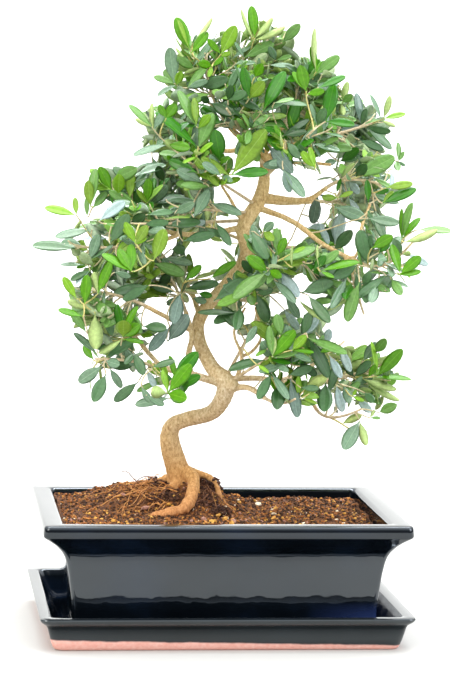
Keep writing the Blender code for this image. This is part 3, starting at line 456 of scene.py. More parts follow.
        (70, 135, ((-68, 10, 5, "sheen"),)),
        (79, 115, ((242, 18, 8.5, "sheen"), (-73, 14, 5, "pale"))),
        (78, 127, ((-40, 10, 5, "mist"),)),
        (82, 131, ((-45, 7, 5, "mature"),)),
        (75, 129, ((-20, 7, 2.5, "young"), (60, 4, 2, "young"))),
        (90, 120, ((25, 10, 6, "fresh"),)),
        (85, 117, ((0, 6, 2, "fresh"), (60, 5, 2, "pale"))),
    ),
    "low_right": (
        (76, 140, ((45, 13, 5.5, "mature"), (130, 8, 4, "dark"))),
        (81, 149, ((55, 13, 6, "sheen"),)),
        (88, 153.5, ((55, 9, 6, "fresh"),)),
        (84, 140, ((60, 8, 4, "bright"),)),
        (89, 140.5, ((101, 20, 3, "young"), (48, 20, 7.5, "bright"), (1, 21, 3.5, "bright"))),
        (81, 139, ((-32, 24, 4, "pale"), (-20, 20, 4.5, "pale"))),
    ),
}

# Where the photo shows sky between the sprays: the middle of each gap on the grid, and half its width and
# height.
SKY = (
    (1, 158, 8, 12), (-22, 155, 4, 8), (-36, 155, 4.5, 5), (-36, 176, 6, 6), (-10, 209, 6.5, 6),
    (7, 219, 3, 8), (2.5, 228.5, 2.5, 2), (6, 243.5, 8, 3.5), (32, 250, 4.5, 6), (46, 250, 3.5, 6),
    (60, 263, 5, 4), (33, 229, 9, 3.5), (44, 234, 5, 3.5), (42, 219, 5.5, 5), (59, 234, 2.5, 5),
    (61, 245.5, 4, 3), (73.5, 226, 5, 3), (74, 213, 2, 6), (98, 222, 4, 3.5), (96, 234, 5, 2.5),
    (103, 212, 2.5, 3), (16, 176, 3, 5), (33, 181, 4, 6), (46, 192, 3.5, 4), (18, 160, 4, 4),
    (17, 141, 4, 1.5), (-29, 214, 2.5, 7), (-13, 212, 5, 3), (-5, 213, 5, 3), (-2, 206, 3, 4),
    (-56.5, 183.5, 3, 3), (-66, 237, 3, 5), (3, 275, 2.5, 4), (7, 270, 2, 4), (29.5, 291, 2.5, 1.5),
    (73, 168, 9, 5),
)
SKY_MARGIN = 2.0

# The crown's edge on the grid, which only the sprays above reach past.
CROWN_EDGE = (
    (9, 336), (24, 342), (33, 336), (43, 333), (40, 322), (52, 320), (64, 317), (66, 307), (72, 301),
    (84, 296), (93, 292), (96, 284), (93, 268), (100, 261), (96, 250), (105, 246), (103, 238), (102, 228),
    (108, 221), (104, 212), (112, 204), (108, 196), (100, 190), (88, 186), (76, 178), (66, 178), (57, 172),
    (58, 164), (72, 156), (86, 157), (98, 151), (102, 141), (96, 128), (92, 120), (82, 108), (73, 107),
    (68, 119), (48, 120), (38, 124), (26, 128), (20, 136), (-15, 140), (-18, 127), (-40, 125), (-60, 127),
    (-74, 132), (-78, 139), (-72, 150), (-80, 160), (-84, 176), (-86, 192), (-78, 198), (-84, 204),
    (-80, 211), (-92, 214), (-86, 221), (-76, 226), (-90, 233), (-82, 238), (-74, 248), (-66, 258),
    (-48, 259), (-33, 260), (-34, 268), (-44, 268), (-42, 282), (-46, 289), (-37, 292), (-30, 298),
    (-34, 307), (-29, 320), (-26, 336), (-16, 332), (-4, 337), (4, 334),
)

# Growth rule. Each mass has a stem: its radius at both ends, its steps, how long it keeps its limb's
# direction, and how far it goes on past the middle of the space. Some swerve, so that leaves hide them.
STEM = (1.05, 0.6)
STEM_STEPS = 9
STEM_BEND = 0.45
STEM_PAST = 0.35
SWERVES = {"left_front": (0, 36, -3)}

# Shoots fan out from the stem: how many for each shoot that a mass is given, their radius at both ends, where
# on the stem they may start, and how far towards the edge of the space they reach.
SHOOTS_MORE = 3.6
SHOOT = (0.62, 0.36)
SHOOT_FEET = (0.3, 0.4, 0.5, 0.6, 0.7, 0.8, 0.9)
SHOOT_REACH = 0.6
REACH_SPREAD = (0.85, 1.08)
SHOOT_SPACE = 0.95               # share of the mass's space that a shoot's or a twig's tip may reach
SHOOT_COST = 1.5                 # the cost of a foot is the run times this, less how well it runs on
GOLDEN_ANGLE = math.pi * (3.0 - math.sqrt(5.0))

# Twigs fork from the shoots: their radius at both ends, where on the shoot, their length, how far they open,
# and how often they grow.
TWIG = (0.44, 0.3)
TWIG_FEET = (0.45, 0.7)
TWIG_LENGTH = (9.0, 16.0)
TWIG_OPENING = 42.0
TWIG_LOOSE = 10.0
TWIG_CHANCE = 0.85

# Curves of shoots and of the twigs to seen leaves: how much of the direction of the wood they keep where they
# leave it, how far along the run their two guide points lie, and how far the shoot's tip turns up.
CURVE_STEPS = 6
SHOOT_KEEPS, SHOOT_FIRST, SHOOT_SECOND = 0.35, 0.4, 0.3
SHOOT_LIFT = 0.48
TWIG_KEEPS, TWIG_FIRST, TWIG_SECOND = 0.3, 0.35, 0.22

# Leaves of a grown spray: length, width as a share of it, opening from the twig, and distance between pairs.
Age = namedtuple("Age", "length width opening internode")
AGES = {
    "mature": Age((14.0, 22.0), (0.30, 0.41), (38.0, 66.0), 6.0),
    "young": Age((11.0, 18.0), (0.32, 0.43), (18.0, 46.0), 4.6),
}
MOST_PAIRS = 4
TIP_NODE = 0.8
LEAFY_SHARE = 0.85               # of a spray's length, back from its tip, which bears leaves
LEAF_BEND = (-0.05, 0.3)
LEAF_LIFT = (-0.08, 0.22)
FIRST_YOUNG = 0.75               # how long a young spray's first pair is, as a share

# Each new try for a place turns a leaf further, opens it more and makes it shorter.
LEAF_TRIES = 9
TURN_LOOSE, TURN_MORE = 0.2, 0.12
OPEN_LOOSE, OPEN_MORE = 9, 3
SHORTER = 0.04

# Where a leaf's upper face looks: at random to a side, out from the crown's axis, along the twig, and up.
FACING = (0.8, 0.3, 0.3, 0.6)
CROWN_AXIS = (12.0, 4.0)

# How far a grown leaf keeps from other leaves and from limbs, and how far its tip may leave its own space.
LEAF_APART = 1.9
LIMB_APART = 0.7
SPACE_EDGE = 1.05

# Leaf tones: the upper skin, the midrib, the underside, how rough the upper skin is, and its IOR.
Tone = namedtuple("Tone", "skin rib under rough ior")
TONES = {
    "young": Tone("#6E9B20", "#82AB44", "#A2B66A", 0.42, 1.40),
    "bright": Tone("#4C8504", "#60931C", "#98B25E", 0.36, 1.40),
    "olive": Tone("#6E902A", "#80A046", "#A2B874", 0.42, 1.42),
    "pale": Tone("#6A9838", "#7EA550", "#A0B670", 0.42, 1.42),
    "fresh": Tone("#608B41", "#759B58", "#A9BC8E", 0.32, 1.48),
    "deep": Tone("#2C6C06", "#427E16", "#90B068", 0.30, 1.44),
    "mature": Tone("#456B40", "#54754E", "#96AC8C", 0.30, 1.55),
    # The dark tone stands for leaves in the crown's shaded inside: partly real older leaves, partly painted
    # shade.
    "dark": Tone("#294E23", "#395F31", "#82A072", 0.34, 1.50),
    # The sheen tone is partly the leaves' own grey-green and partly painted sheen. The pale bluish tone after
    # it is painted reflection of the white studio on glossy leaves.
    "sheen": Tone("#658466", "#779376", "#9BAE92", 0.26, 1.60),
    "mist": Tone("#A3B9B8", "#B0C2BF", "#BACABE", 0.26, 1.60),
    "violet": Tone("#5E7668", "#6A8376", "#92A294", 0.26, 1.60),
}
PIECES = {
    "young_leaves": ("young", "bright", "olive", "pale"),
    "fresh_leaves": ("fresh", "deep"),
    "mature_leaves": ("mature", "dark", "sheen", "mist", "violet"),
}

# Tones of the sprays that grow by the rule, with how often each is dealt out. The dark tone among them is
# partly painted shade of the crown's inside.
OLD_TONES = (("mature", 15), ("dark", 5), ("sheen", 32), ("fresh", 28), ("deep", 4), ("pale", 10),
             ("olive", 6))
YOUNG_TONES = (("bright", 40), ("young", 30), ("olive", 18), ("fresh", 12))
YOUNG_SHARE = 0.19

# How far in front of or behind the middle of its mass a leaf of each tone stands. The dark tone stands
# behind, partly as painted shade of the crown's inside.
DEPTHS = {"young": -15, "bright": -14, "olive": -11, "pale": -10, "fresh": -7, "deep": -6, "sheen": -2,
          "mature": 0, "violet": 4, "mist": 9, "dark": 7}
DEPTH_TRIES = (0, 4, -4, 8, -8, 12, -12, 16)
DEPTH_SPREAD = 3.0

# Seen sprays: their twig's radius at both ends, how far their leaves keep from others, the distance between
# their pairs of leaves, and how far their twig keeps behind, as a share of its run.
NODE_TWIG = (0.5, 0.34)
NODE_APART = 1.5
NODE_STEP = 1.6
TWIG_BEHIND = 0.28
HIDE = 3.4                       # how far a grown leaf keeps from a seen one that it stands before

# A seen leaf that looks wider than ROUND_LOOK, as a share of its length, is a leaf of FULL_WIDTH that leans
# to the camera. Any other leans by SEEN_LEAN degrees, and if it looks slimmer than SLIM_WIDTH, it has rolled.
ROUND_LOOK = 0.46
FULL_WIDTH = 0.44
SLIM_WIDTH = 0.35
SEEN_LEAN = (-18.0, 22.0)
SEEN_BEND = (0.0, 0.22)

# The cost of a twig to seen leaves is its length times TWIG_COST, less how well it runs with its leaves and,
# times WOOD_SHARE, with the wood that bears it.
TWIG_COST, WOOD_SHARE = 1.9, 0.5

# Shading: up to how many degrees two faces of a vessel, of the soil and of wood are shaded as one. Then how
# close two points of a limb and of a leaf are welded.
GLAZE_ANGLE, SOIL_ANGLE, WOOD_ANGLE = 35, 60, 80
LIMB_WELD, LEAF_WELD = 0.01, 0.02


# Small helpers

def mm(*place):
    return Vector(place) * MM


def deselect():
    bpy.ops.object.select_all(action="DESELECT")


def active(thing):
    """Make a thing the only selected one and the active one."""
    deselect()
    thing.select_set(True)
    bpy.context.view_layer.objects.active = thing
    return thing


def newest(name):
    """Name the object that an operator has just added."""
    thing = bpy.context.object
    thing.name = name
    thing.data.name = name
    return thing


def apply_all(thing):
    """Apply the modifiers of a thing, and its place, turn and scale to its mesh."""
    active(thing)
    for modifier in list(thing.modifiers):
        bpy.ops.object.modifier_apply(modifier=modifier.name)
    bpy.ops.object.transform_apply(location=True, rotation=True, scale=True)
    return thing


def finish_piece(thing, materials, smooth=None):
    """Shade a finished piece, give it its materials and let it ride on the one body."""
    active(thing)
    if smooth is not None:
        bpy.ops.object.shade_smooth_by_angle(angle=math.radians(smooth))
    while len(thing.data.materials) < len(materials):
        thing.data.materials.append(None)
    for index, material in enumerate(materials):
        thing.data.materials[index] = material
    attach(thing, "root")


def mesh_from_arrays(name, vertices, faces, material_indices=None):
    """A joined mesh of many copies, from arrays in millimetres."""
    mesh = bpy.data.meshes.new(name)
    mesh.from_pydata((vertices * MM).tolist(), [], faces)
    if material_indices is not None:
        mesh.polygons.foreach_set("material_index", material_indices)
    mesh.shade_smooth()
    mesh.update()
    thing = bpy.data.objects.new(name, mesh)
    bpy.context.scene.collection.objects.link(thing)
    return thing


def arrays_of(thing):
    """The vertices and faces of a modelled prototype, which is then removed."""
    mesh = thing.data
    vertices = np.zeros(len(mesh.vertices) * 3)
    mesh.vertices.foreach_get("co", vertices)
    faces = [list(face.vertices) for face in mesh.polygons]
    bpy.data.objects.remove(thing)
    return vertices.reshape(-1, 3), faces


# Materials

def linear(code):
    """An sRGB hex value as linear red, green, blue and alpha."""
    parts = [int(code[k:k + 2], 16) / 255.0 for k in (1, 3, 5)]
    return (*[part / 12.92 if part <= 0.04045 else ((part + 0.055) / 1.055) ** 2.4 for part in parts], 1.0)


def new_material(name, **values):
    """A Principled material with plain numbers on the shader's own sockets."""
    material = bpy.data.materials.new(name)
    material.use_nodes = True
    shader = material.node_tree.nodes["Principled BSDF"]
    for socket, value in values.items():
        shader.inputs[socket.replace("_", " ")].default_value = value
    return material


def add_node(owner, kind, links=(), inputs=(), stops=(), **settings):
    """Add one node to a material or the world, with its settings, values, ramp stops and links.

    A stop is a place and an sRGB hex value. A link is another node, its output, and the socket that it feeds.
    """
    tree = owner.node_tree
    made = tree.nodes.new(kind)
    for setting, value in settings.items():
        setattr(made, setting, value)
    for socket, value in inputs:
        made.inputs[socket].default_value = value
    if stops:
        elements = made.color_ramp.elements
        while len(elements) < len(stops):
            elements.new(0.5)
        for element, (place, code) in zip(elements, stops):
            element.position = place
            element.color = linear(code)
    for source, output, socket in links:
        tree.links.new(source.outputs[output], made.inputs[socket])
    return made


def to_shader(material, source, output, socket):
    shader = material.node_tree.nodes["Principled BSDF"]
    material.node_tree.links.new(source.outputs[output], shader.inputs[socket])


def per_metre(size):
    """The scale of a pattern whose features are this many millimetres apart."""
    return 1.0 / (size * MM)


def mottling(material, size, detail=4.0, roughness=0.55, stretch=(1.0, 1.0, 1.0)):
    """A cloudy pattern in the object's own space, with features of a real size in millimetres."""
    place = add_node(material, "ShaderNodeTexCoord")
    drawn = add_node(material, "ShaderNodeMapping", links=[(place, "Object", "Vector")],
                     inputs=[("Scale", stretch)])
    return add_node(material, "ShaderNodeTexNoise", links=[(drawn, "Vector", "Vector")],
                    inputs=[("Scale", per_metre(size)), ("Detail", detail), ("Roughness", roughness)])


def mottled(material, size, stops, **grain):
    """A tone that drifts from colour to colour in patches of a real size."""
    clouds = mottling(material, size, **grain)
    return add_node(material, "ShaderNodeValToRGB", links=[(clouds, "Fac", "Fac")], stops=stops)


def uneven(material, size, strength, depth, **grain):
    """Make the skin uneven, in features of a real size and to a real depth in millimetres."""
    clouds = mottling(material, size, **grain)
    bump = add_node(material, "ShaderNodeBump", links=[(clouds, "Fac", "Height")],
                    inputs=[("Strength", strength), ("Distance", depth * MM)])
    to_shader(material, bump, "Normal", "Normal")
    return bump


def own_place(material):
    """X, Y and Z in the object's own space."""
    place = add_node(material, "ShaderNodeTexCoord")
    return add_node(material, "ShaderNodeSeparateXYZ", links=[(place, "Object", "Vector")])


# Glaze: between which heights its reflections change, how strong they are below and above, and the colour
# that it pools to low down on the right. Its orange peel fades between the same heights. The weaker
# reflections on the pot's lip and the very weak ones deep inside the pot and the tray are painted shade.
Glaze = namedtuple("Glaze", "heights shine pool")
POT_OUTSIDE = Glaze((57.0, 61.0), (0.5, 0.34), "#2A3A68")
POT_INSIDE = Glaze((66.0, 67.8), (0.02, 0.55), "#0A0E14")
TRAY_INSIDE = Glaze((14.5, 17.4), (0.012, 0.5), "#0A0E14")
PEEL = (1.0, 0.1)
POOL_ACROSS = (45.0, 85.0)
POOL_HEIGHTS = (24.0, 14.0)


def glazed_stoneware(name, glaze):
    """Stoneware dipped in a near-black blue glaze and fired: a wet-looking skin with faint orange peel."""
    material = new_material(name, Roughness=0.06, IOR=1.86, Specular_Tint=(0.85, 0.93, 1.0, 1.0))
    tone = mottled(material, 38.0, ((0.3, "#05080B"), (0.55, "#080D13"), (0.75, "#0D1726")), detail=3.0)
    peel = uneven(material, 15.0, 1.0, 0.42, detail=2.5, roughness=0.4)
    place = own_place(material)
    changes = []
    for axis, (start, end), (low, high) in (("X", POOL_ACROSS, (0.0, 1.0)), ("Z", POOL_HEIGHTS, (0.0, 1.0)),
                                            ("Z", glaze.heights, PEEL), ("Z", glaze.heights, glaze.shine)):
        changes.append(add_node(material, "ShaderNodeMapRange", links=[(place, axis, "Value")],
                                inputs=[("From Min", start * MM), ("From Max", end * MM),
                                        ("To Min", low), ("To Max", high)]))
    rightward, downward, calm, shine = changes
    blue = add_node(material, "ShaderNodeMath", operation="MULTIPLY",
                    links=[(rightward, "Result", 0), (downward, "Result", 1)])
    pooled = add_node(material, "ShaderNodeMix", data_type="RGBA",
                      links=[(blue, "Value", "Factor"), (tone, "Color", 6)], inputs=[(7, linear(glaze.pool))])
    to_shader(material, pooled, 2, "Base Color")
    # Reflections weakened on the lip and deep inside the vessel: painted shade.
    to_shader(material, shine, "Result", "Specular IOR Level")
    material.node_tree.links.new(calm.outputs["Result"], peel.inputs["Strength"])
    return material


# The tray's bare foot: how the glaze's edge rises along X, its height at the middle, how far it waves, and
# over what height the glaze takes over. Then how strongly the glaze reflects, up the tray's whole height:
# weaker below the lip and weakest in the groove under it, which is painted shade.
FOOT_SLANT = 0.019
FOOT_HEIGHT = 4.0
FOOT_WAVE = 1.2
FOOT_BLEND = (0.2, 1.2)
TRAY_TALL = 20.0
TRAY_SHINE_AND_PAINTED_SHADE = ((0.30, "#BCBCBC"), (0.46, "#A0A0A0"), (0.58, "#747474"), (0.64, "#3C3C3C"), (0.71, "#3C3C3C"),
              (0.76, "#BCBCBC"))


def tray_stoneware():
    """The tray's thinner glaze, with painted shade in the groove below its lip. It leaves terracotta bare at
    the foot.
    """
    material = new_material("tray_stoneware", IOR=1.72, Specular_Tint=(0.9, 0.97, 1.0, 1.0))
    place = own_place(material)
    slant = add_node(material, "ShaderNodeMath", operation="MULTIPLY_ADD", links=[(place, "X", 0)],
                     inputs=[(1, FOOT_SLANT), (2, -FOOT_HEIGHT * MM)])
    line = add_node(material, "ShaderNodeMath", operation="ADD", links=[(place, "Z", 0), (slant, "Value", 1)])
    wave = mottling(material, 9.0, detail=2.0)
    shifted = add_node(material, "ShaderNodeMath", operation="MULTIPLY_ADD",
                       links=[(wave, "Fac", 0), (line, "Value", 2)], inputs=[(1, FOOT_WAVE * MM)])
    edge = add_node(material, "ShaderNodeMapRange", links=[(shifted, "Value", "Value")],
                    inputs=[("From Min", FOOT_BLEND[0] * MM), ("From Max", FOOT_BLEND[1] * MM)])
    bare = mottled(material, 2.2, ((0.3, "#EAA696"), (0.7, "#F4C0B3")))
    glaze = mottled(material, 30.0, ((0.3, "#0A0F11"), (0.75, "#151C20")))
    tone = add_node(material, "ShaderNodeMix", data_type="RGBA",
                    links=[(edge, "Result", "Factor"), (bare, "Color", 6), (glaze, "Color", 7)])
    to_shader(material, tone, 2, "Base Color")
    gloss = add_node(material, "ShaderNodeMapRange", links=[(edge, "Result", "Value")],
                     inputs=[("To Min", 0.85), ("To Max", 0.09)])
    to_shader(material, gloss, "Result", "Roughness")
    tall = add_node(material, "ShaderNodeMapRange", links=[(place, "Z", "Value")],
                    inputs=[("From Max", TRAY_TALL * MM)])
    # Weaker reflections towards the lip and in the groove under it: painted shade.
    shine = add_node(material, "ShaderNodeValToRGB", links=[(tall, "Result", "Fac")], stops=TRAY_SHINE_AND_PAINTED_SHADE)
    to_shader(material, shine, "Color", "Specular IOR Level")
    uneven(material, 1.1, 0.08, 0.12)
    return material


# Bark: the heights between which it ages from the earthy foot to the olive top, and its tints on the way.
BARK_HEIGHTS = (66.0, 266.0)
BARK_AGES = ((0.0, "#E0AC80"), (0.10, "#EACA9E"), (0.20, "#FCF0DA"), (0.34, "#FFFFFF"), (0.52, "#F6F0E0"),
             (0.80, "#FFF8E2"), (1.0, "#FAEECC"))


def olive_bark():
    """Olive bark, thin and close-grained: tan and earthy at the foot, pale above it, olive at the top."""
    material = new_material("olive_bark", Roughness=0.8)
    grain = ((0.30, "#947850"), (0.43, "#CAB088"), (0.54, "#E0CCA8"), (0.68, "#F2E6CC"))
    tone = mottled(material, 1.3, grain, detail=8.0, roughness=0.7, stretch=(1.0, 1.0, 0.6))
    tint = mottled(material, 22.0, ((0.35, "#E9D6B2"), (0.65, "#FFFFFF")), detail=2.0)
    mixed = add_node(material, "ShaderNodeMix", data_type="RGBA", blend_type="MULTIPLY",
                     links=[(tone, "Color", 6), (tint, "Color", 7)], inputs=[("Factor", 0.4)])
    tall = add_node(material, "ShaderNodeMapRange", links=[(own_place(material), "Z", "Value")],
                    inputs=[("From Min", BARK_HEIGHTS[0] * MM), ("From Max", BARK_HEIGHTS[1] * MM)])
    aged = add_node(material, "ShaderNodeValToRGB", links=[(tall, "Result", "Fac")], stops=BARK_AGES)
    stained = add_node(material, "ShaderNodeMix", data_type="RGBA", blend_type="MULTIPLY",
                       links=[(mixed, 2, 6), (aged, "Color", 7)], inputs=[("Factor", 1.0)])
    to_shader(material, stained, 2, "Base Color")
    uneven(material, 0.9, 0.8, 0.35, detail=6.0, stretch=(1.0, 1.0, 0.5))
    return material


def twig_bark(name, dark, pale):
    """Bark of one or two years, smooth and a little shiny."""
    material = new_material(name, Roughness=0.6)
    to_shader(material, mottled(material, 1.8, ((0.35, dark), (0.65, pale))), "Color", "Base Color")
    return material


MOTTLE = (0.95, 1.24)            # how light a leaf's skin is where its mottling is darkest and lightest


def leaf_skin(name, colour, roughness, ior=1.45):
    """A leaf's waxy upper skin, or the duller one below it: one tone, with faint mottling."""
    material = new_material(name, Roughness=roughness, IOR=ior)
    base = linear(colour)
    clouds = mottling(material, 1.6, detail=3.0)
    ramp = add_node(material, "ShaderNodeValToRGB", links=[(clouds, "Fac", "Fac")])
    for element, place, light in zip(ramp.color_ramp.elements, (0.35, 0.65), MOTTLE):
        element.position = place
        element.color = [min(1.0, part * light) for part in base[:3]] + [1.0]
    to_shader(material, ramp, "Color", "Base Color")
    return material


def earth(name, stops, size):
    """Dry potting soil: matt crumbs of bark, fired clay and grit."""
    material = new_material(name, Roughness=0.95)
    tone = mottled(material, size, stops, detail=6.0, roughness=0.7)
    to_shader(material, tone, "Color", "Base Color")
    uneven(material, 0.6, 0.6, 0.3)
    return material


# Pot and tray

CORNER_STEPS = 8


def walled_vessel(name, rows, inset, corner):
    """A plane with rounded corners, extruded up the outer wall, over the rim and down inside."""
    height, half = rows[0]
    deselect()
    bpy.ops.mesh.primitive_plane_add(size=2.0, location=mm(0, 0, height))
    vessel = newest(name)
    vessel.scale = mm(half, half - inset, 1.0 / MM)
    active(vessel)
    bpy.ops.object.transform_apply(location=False, rotation=False, scale=True)
    bpy.ops.object.mode_set(mode="EDIT")
    bpy.ops.mesh.select_all(action="SELECT")
    bpy.ops.mesh.bevel(offset=corner * MM, segments=CORNER_STEPS, affect="VERTICES")
    bpy.ops.mesh.select_all(action="SELECT")
    for (low, old), (high, new) in zip(rows, rows[1:]):
        bpy.ops.mesh.extrude_region_move(TRANSFORM_OT_translate={"value": mm(0, 0, high - low)})
        widen = (new / old, (new - inset) / (old - inset), 1.0)
        bpy.ops.transform.resize(value=widen, center_override=mm(0, 0, high))
    bpy.ops.mesh.select_all(action="SELECT")
    bpy.ops.mesh.normals_make_consistent(inside=False)
    bpy.ops.object.mode_set(mode="OBJECT")
    return apply_all(vessel)


def inside_apart(vessel):
    """Give the second material to the rim's flat and to what faces the middle, and the first to the rest."""
    for face in vessel.data.polygons:
        outward = face.normal.x * face.center.x + face.normal.y * face.center.y > 1e-6
        face.material_index = 0 if outward or face.center.z < MM else 1


def make_pot():
    pot = walled_vessel("glazed_pot", POT_WALL + POT_LIP + POT_MOUTH, POT_INSET, POT_CORNER)
    inside_apart(pot)
    outside = glazed_stoneware("pot_glaze_blue_black", POT_OUTSIDE)
    inside = glazed_stoneware("pot_glaze_inside", POT_INSIDE)
    finish_piece(pot, [outside, inside], GLAZE_ANGLE)
    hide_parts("pot")


def make_tray():
    tray = walled_vessel("drip_tray", TRAY_WALL + TRAY_MOUTH, TRAY_INSET, TRAY_CORNER)
    inside_apart(tray)
    inside = glazed_stoneware("tray_glaze_inside", TRAY_INSIDE)
    finish_piece(tray, [tray_stoneware(), inside], GLAZE_ANGLE)
    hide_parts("tray")


# Soil

def soil_height(x, y):
    height = SOIL_LEFT + (SOIL_RIGHT - SOIL_LEFT) * (x + SOIL_HALF) / (2.0 * SOIL_HALF) + SOIL_SLOPE * y
    for mound in MOUNDS:
        across = abs(x - mound.x) / (mound.left if x < mound.x else mound.right)
        towards_back = abs(y - mound.y) / mound.depth
        height += mound.rise * math.exp(-across ** 3 - towards_back ** 3)
    return height + RELIEF * noise.noise(Vector((x, y, 0.0)) / RELIEF_SIZE)


SOIL_BED = (88.4, 63.4)          # half length and half depth where the soil meets the wall
BED_CELLS = (168, 120)
LUMPS = ((7.0, 1.1), (3.0, 0.9), (1.3, 0.5))    # size and rise
SUNK = 0.6
BED_THICKNESS = 3.0
WALL_GAP = 1.5                   # how far crumbs keep from the pot's wall


def lumpy(place, layers):
    """How far lumps of some sizes, each with its own rise, stand out at a place."""
    return sum(rise * noise.noise(place / size) for size, rise in layers)


def rough_ground(x, y):
    """Soil height with its small hollows and lumps."""
    return soil_height(x, y) - SUNK + lumpy(Vector((x, y, 0.0)), LUMPS)


def make_soil_bed():
    deselect()
    bpy.ops.mesh.primitive_grid_add(x_subdivisions=BED_CELLS[0], y_subdivisions=BED_CELLS[1], size=2.0)
    bed = newest("soil_bed")
    for vertex in bed.data.vertices:
        x, y = vertex.co.x * SOIL_BED[0], vertex.co.y * SOIL_BED[1]
        vertex.co = mm(x, y, rough_ground(x, y))
    thick = bed.modifiers.new("thickness", "SOLIDIFY")
    thick.thickness = BED_THICKNESS * MM
    thick.offset = -1.0
    apply_all(bed)
    stops = ((0.32, "#24140A"), (0.5, "#5A3519"), (0.68, "#8E5C2E"))
    finish_piece(bed, [earth("peat_and_bark_mix", stops, 3.4)], SOIL_ANGLE)
    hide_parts("soil")


CRUMB_SHAPES = 5
OUT_OF_ROUND = (0.7, 1.15)
CRUMB_DEPTH = (0.65, 1.0)
CRUMB_HEIGHT = (0.5, 0.85)


def crumb_prototypes(chance):
    """A few angular crumbs, each an icosphere pushed out of round."""
    crumbs = []
    for number in range(CRUMB_SHAPES):
        deselect()
        bpy.ops.mesh.primitive_ico_sphere_add(subdivisions=1, radius=1.0)
        crumb = newest(f"crumb_{number}")
        for vertex in crumb.data.vertices:
            vertex.co *= chance.uniform(*OUT_OF_ROUND)
        vertices, faces = arrays_of(crumb)
        depth = chance.uniform(*CRUMB_DEPTH)
        crumbs.append((vertices * (1.0, depth, chance.uniform(*CRUMB_HEIGHT)), faces))
    return crumbs


TILT = 0.6                       # how far a crumb is tilted, in radians


def scatter(name, places, prototypes, chance, material):
    """Many small copies joined: a middle and a size for each, which is turned at random."""
    vertices, faces, start = [], [], 0
    for middle, size in places:
        shape, shape_faces = chance.choice(prototypes)
        turn = Matrix.Rotation(chance.uniform(0, 2 * math.pi), 3, "Z")
        turn = turn @ Matrix.Rotation(chance.uniform(-TILT, TILT), 3, "X")
        turn = turn @ Matrix.Rotation(chance.uniform(-TILT, TILT), 3, "Y")
        vertices.append((shape * size) @ np.array(turn).T + middle)
        faces.extend([[start + index for index in face] for face in shape_faces])
        start += len(shape)
    thing = mesh_from_arrays(name, np.vstack(vertices), faces)
    thing.data.shade_flat()
    finish_piece(thing, [material])


# Kinds of crumb: how many, radius, colours.
CRUMBS = {
    "dark_crumbs": (6400, (0.35, 1.25), ((0.3, "#160A04"), (0.5, "#38200F"), (0.7, "#64401E"))),
    "red_crumbs": (4500, (0.35, 1.2), ((0.3, "#6E3C18"), (0.5, "#955A28"), (0.7, "#B67E42"))),
    "ochre_crumbs": (1000, (0.3, 1.4), ((0.3, "#A56E2A"), (0.5, "#CC943E"), (0.7, "#EAC274"))),
    "pumice_crumbs": (110, (0.4, 1.3), ((0.3, "#D9C49A"), (0.7, "#FBF1DC"))),
    "fired_clay": (260, (0.4, 1.4), ((0.3, "#83594A"), (0.5, "#A07463"), (0.7, "#BC9480"))),
}
CHIPS = (150, (1.5, 3.0), ((0.3, "#84481E"), (0.5, "#B8742F"), (0.7, "#E0A862")))
CHIP_DEPTHS = (0.3, 0.5)         # of its length
CHIP_HEIGHTS = (0.15, 0.3)
CHIP_LIFT = 0.15
FEW_LARGE = 1.8                  # the higher, the fewer large crumbs
CRUMB_LIFT = 0.45                # of its radius, at most
PEBBLE_LIFT = 0.4

# Pebbles that stand out in the photo: place, radius and which of the crumb colours.
PEBBLES = (
    ("ochre_crumbs", ((0, -10, 2.4), (4, -14, 2.2), (-3, -24, 2.0), (6, -28, 2.2), (-6, -33, 2.0),
                      (33, -2, 2.4), (16, 20, 1.8), (44, -32, 1.9), (-60, -26, 1.9), (-27, -3, 1.9),
                      (63, 0, 1.7), (20, -38, 2.0))),
    ("pumice_crumbs", ((4, -8, 2.2), (5, -13, 1.7), (28, 30, 2.2), (34, 4, 1.8), (70, -20, 1.5),
                       (-12, -26, 1.1))),
    ("fired_clay", ((-40, -4, 2.9), (-9, -20, 2.2), (-16, -24, 2.0), (8, -22, 2.2), (-52, 8, 1.8),
                    (24, -16, 1.9))),
)

# Clods of darker soil under the roots, dark partly as painted shade in the hollows there: middle, half their
# width, depth and height, and how many crumbs.
CLODS = (
    ((-5, 10, 75), (6.5, 5, 6.5), 330),
    ((-2.5, 11, 78), (7, 4.5, 5), 300),
    ((-32, 14, 76), (9, 5, 4.5), 330),
    ((-7, 2, 68), (9, 7, 3.5), 260),
    ((-29, 3, 71), (10, 6, 4), 240),
    ((2, -6, 65.5), (7, 6, 2.5), 130),
    ((-24, 12, 74.5), (9, 6, 4), 200),
)
CLOD_RADII = (0.5, 1.7)


def make_clods(chance, prototypes):
    places = []
    for middle, reach, count in CLODS:
        for number in range(count):
            aim = Vector([chance.gauss(0.0, 1.0) for k in range(3)]).normalized() * chance.random() ** (1 / 3)
            place = np.array([middle[k] + reach[k] * aim[k] for k in range(3)])
            place[2] = max(place[2], rough_ground(place[0], place[1]))
            places.append((place, CLOD_RADII[0] + (CLOD_RADII[1] - CLOD_RADII[0]) * chance.random() ** 2))
    # Darker than the bed: partly humus, partly painted shade under the roots.
    stops = ((0.36, "#160C08"), (0.5, "#42271A"), (0.68, "#84563A"))
    scatter("dark_clods", places, prototypes, chance, earth("humus_and_painted_shade", stops, 1.6))


def ground_place(chance, sink):
    x = chance.uniform(-SOIL_BED[0] + WALL_GAP, SOIL_BED[0] - WALL_GAP)
    y = chance.uniform(-SOIL_BED[1] + WALL_GAP, SOIL_BED[1] - WALL_GAP)
    return np.array((x, y, rough_ground(x, y) + sink))


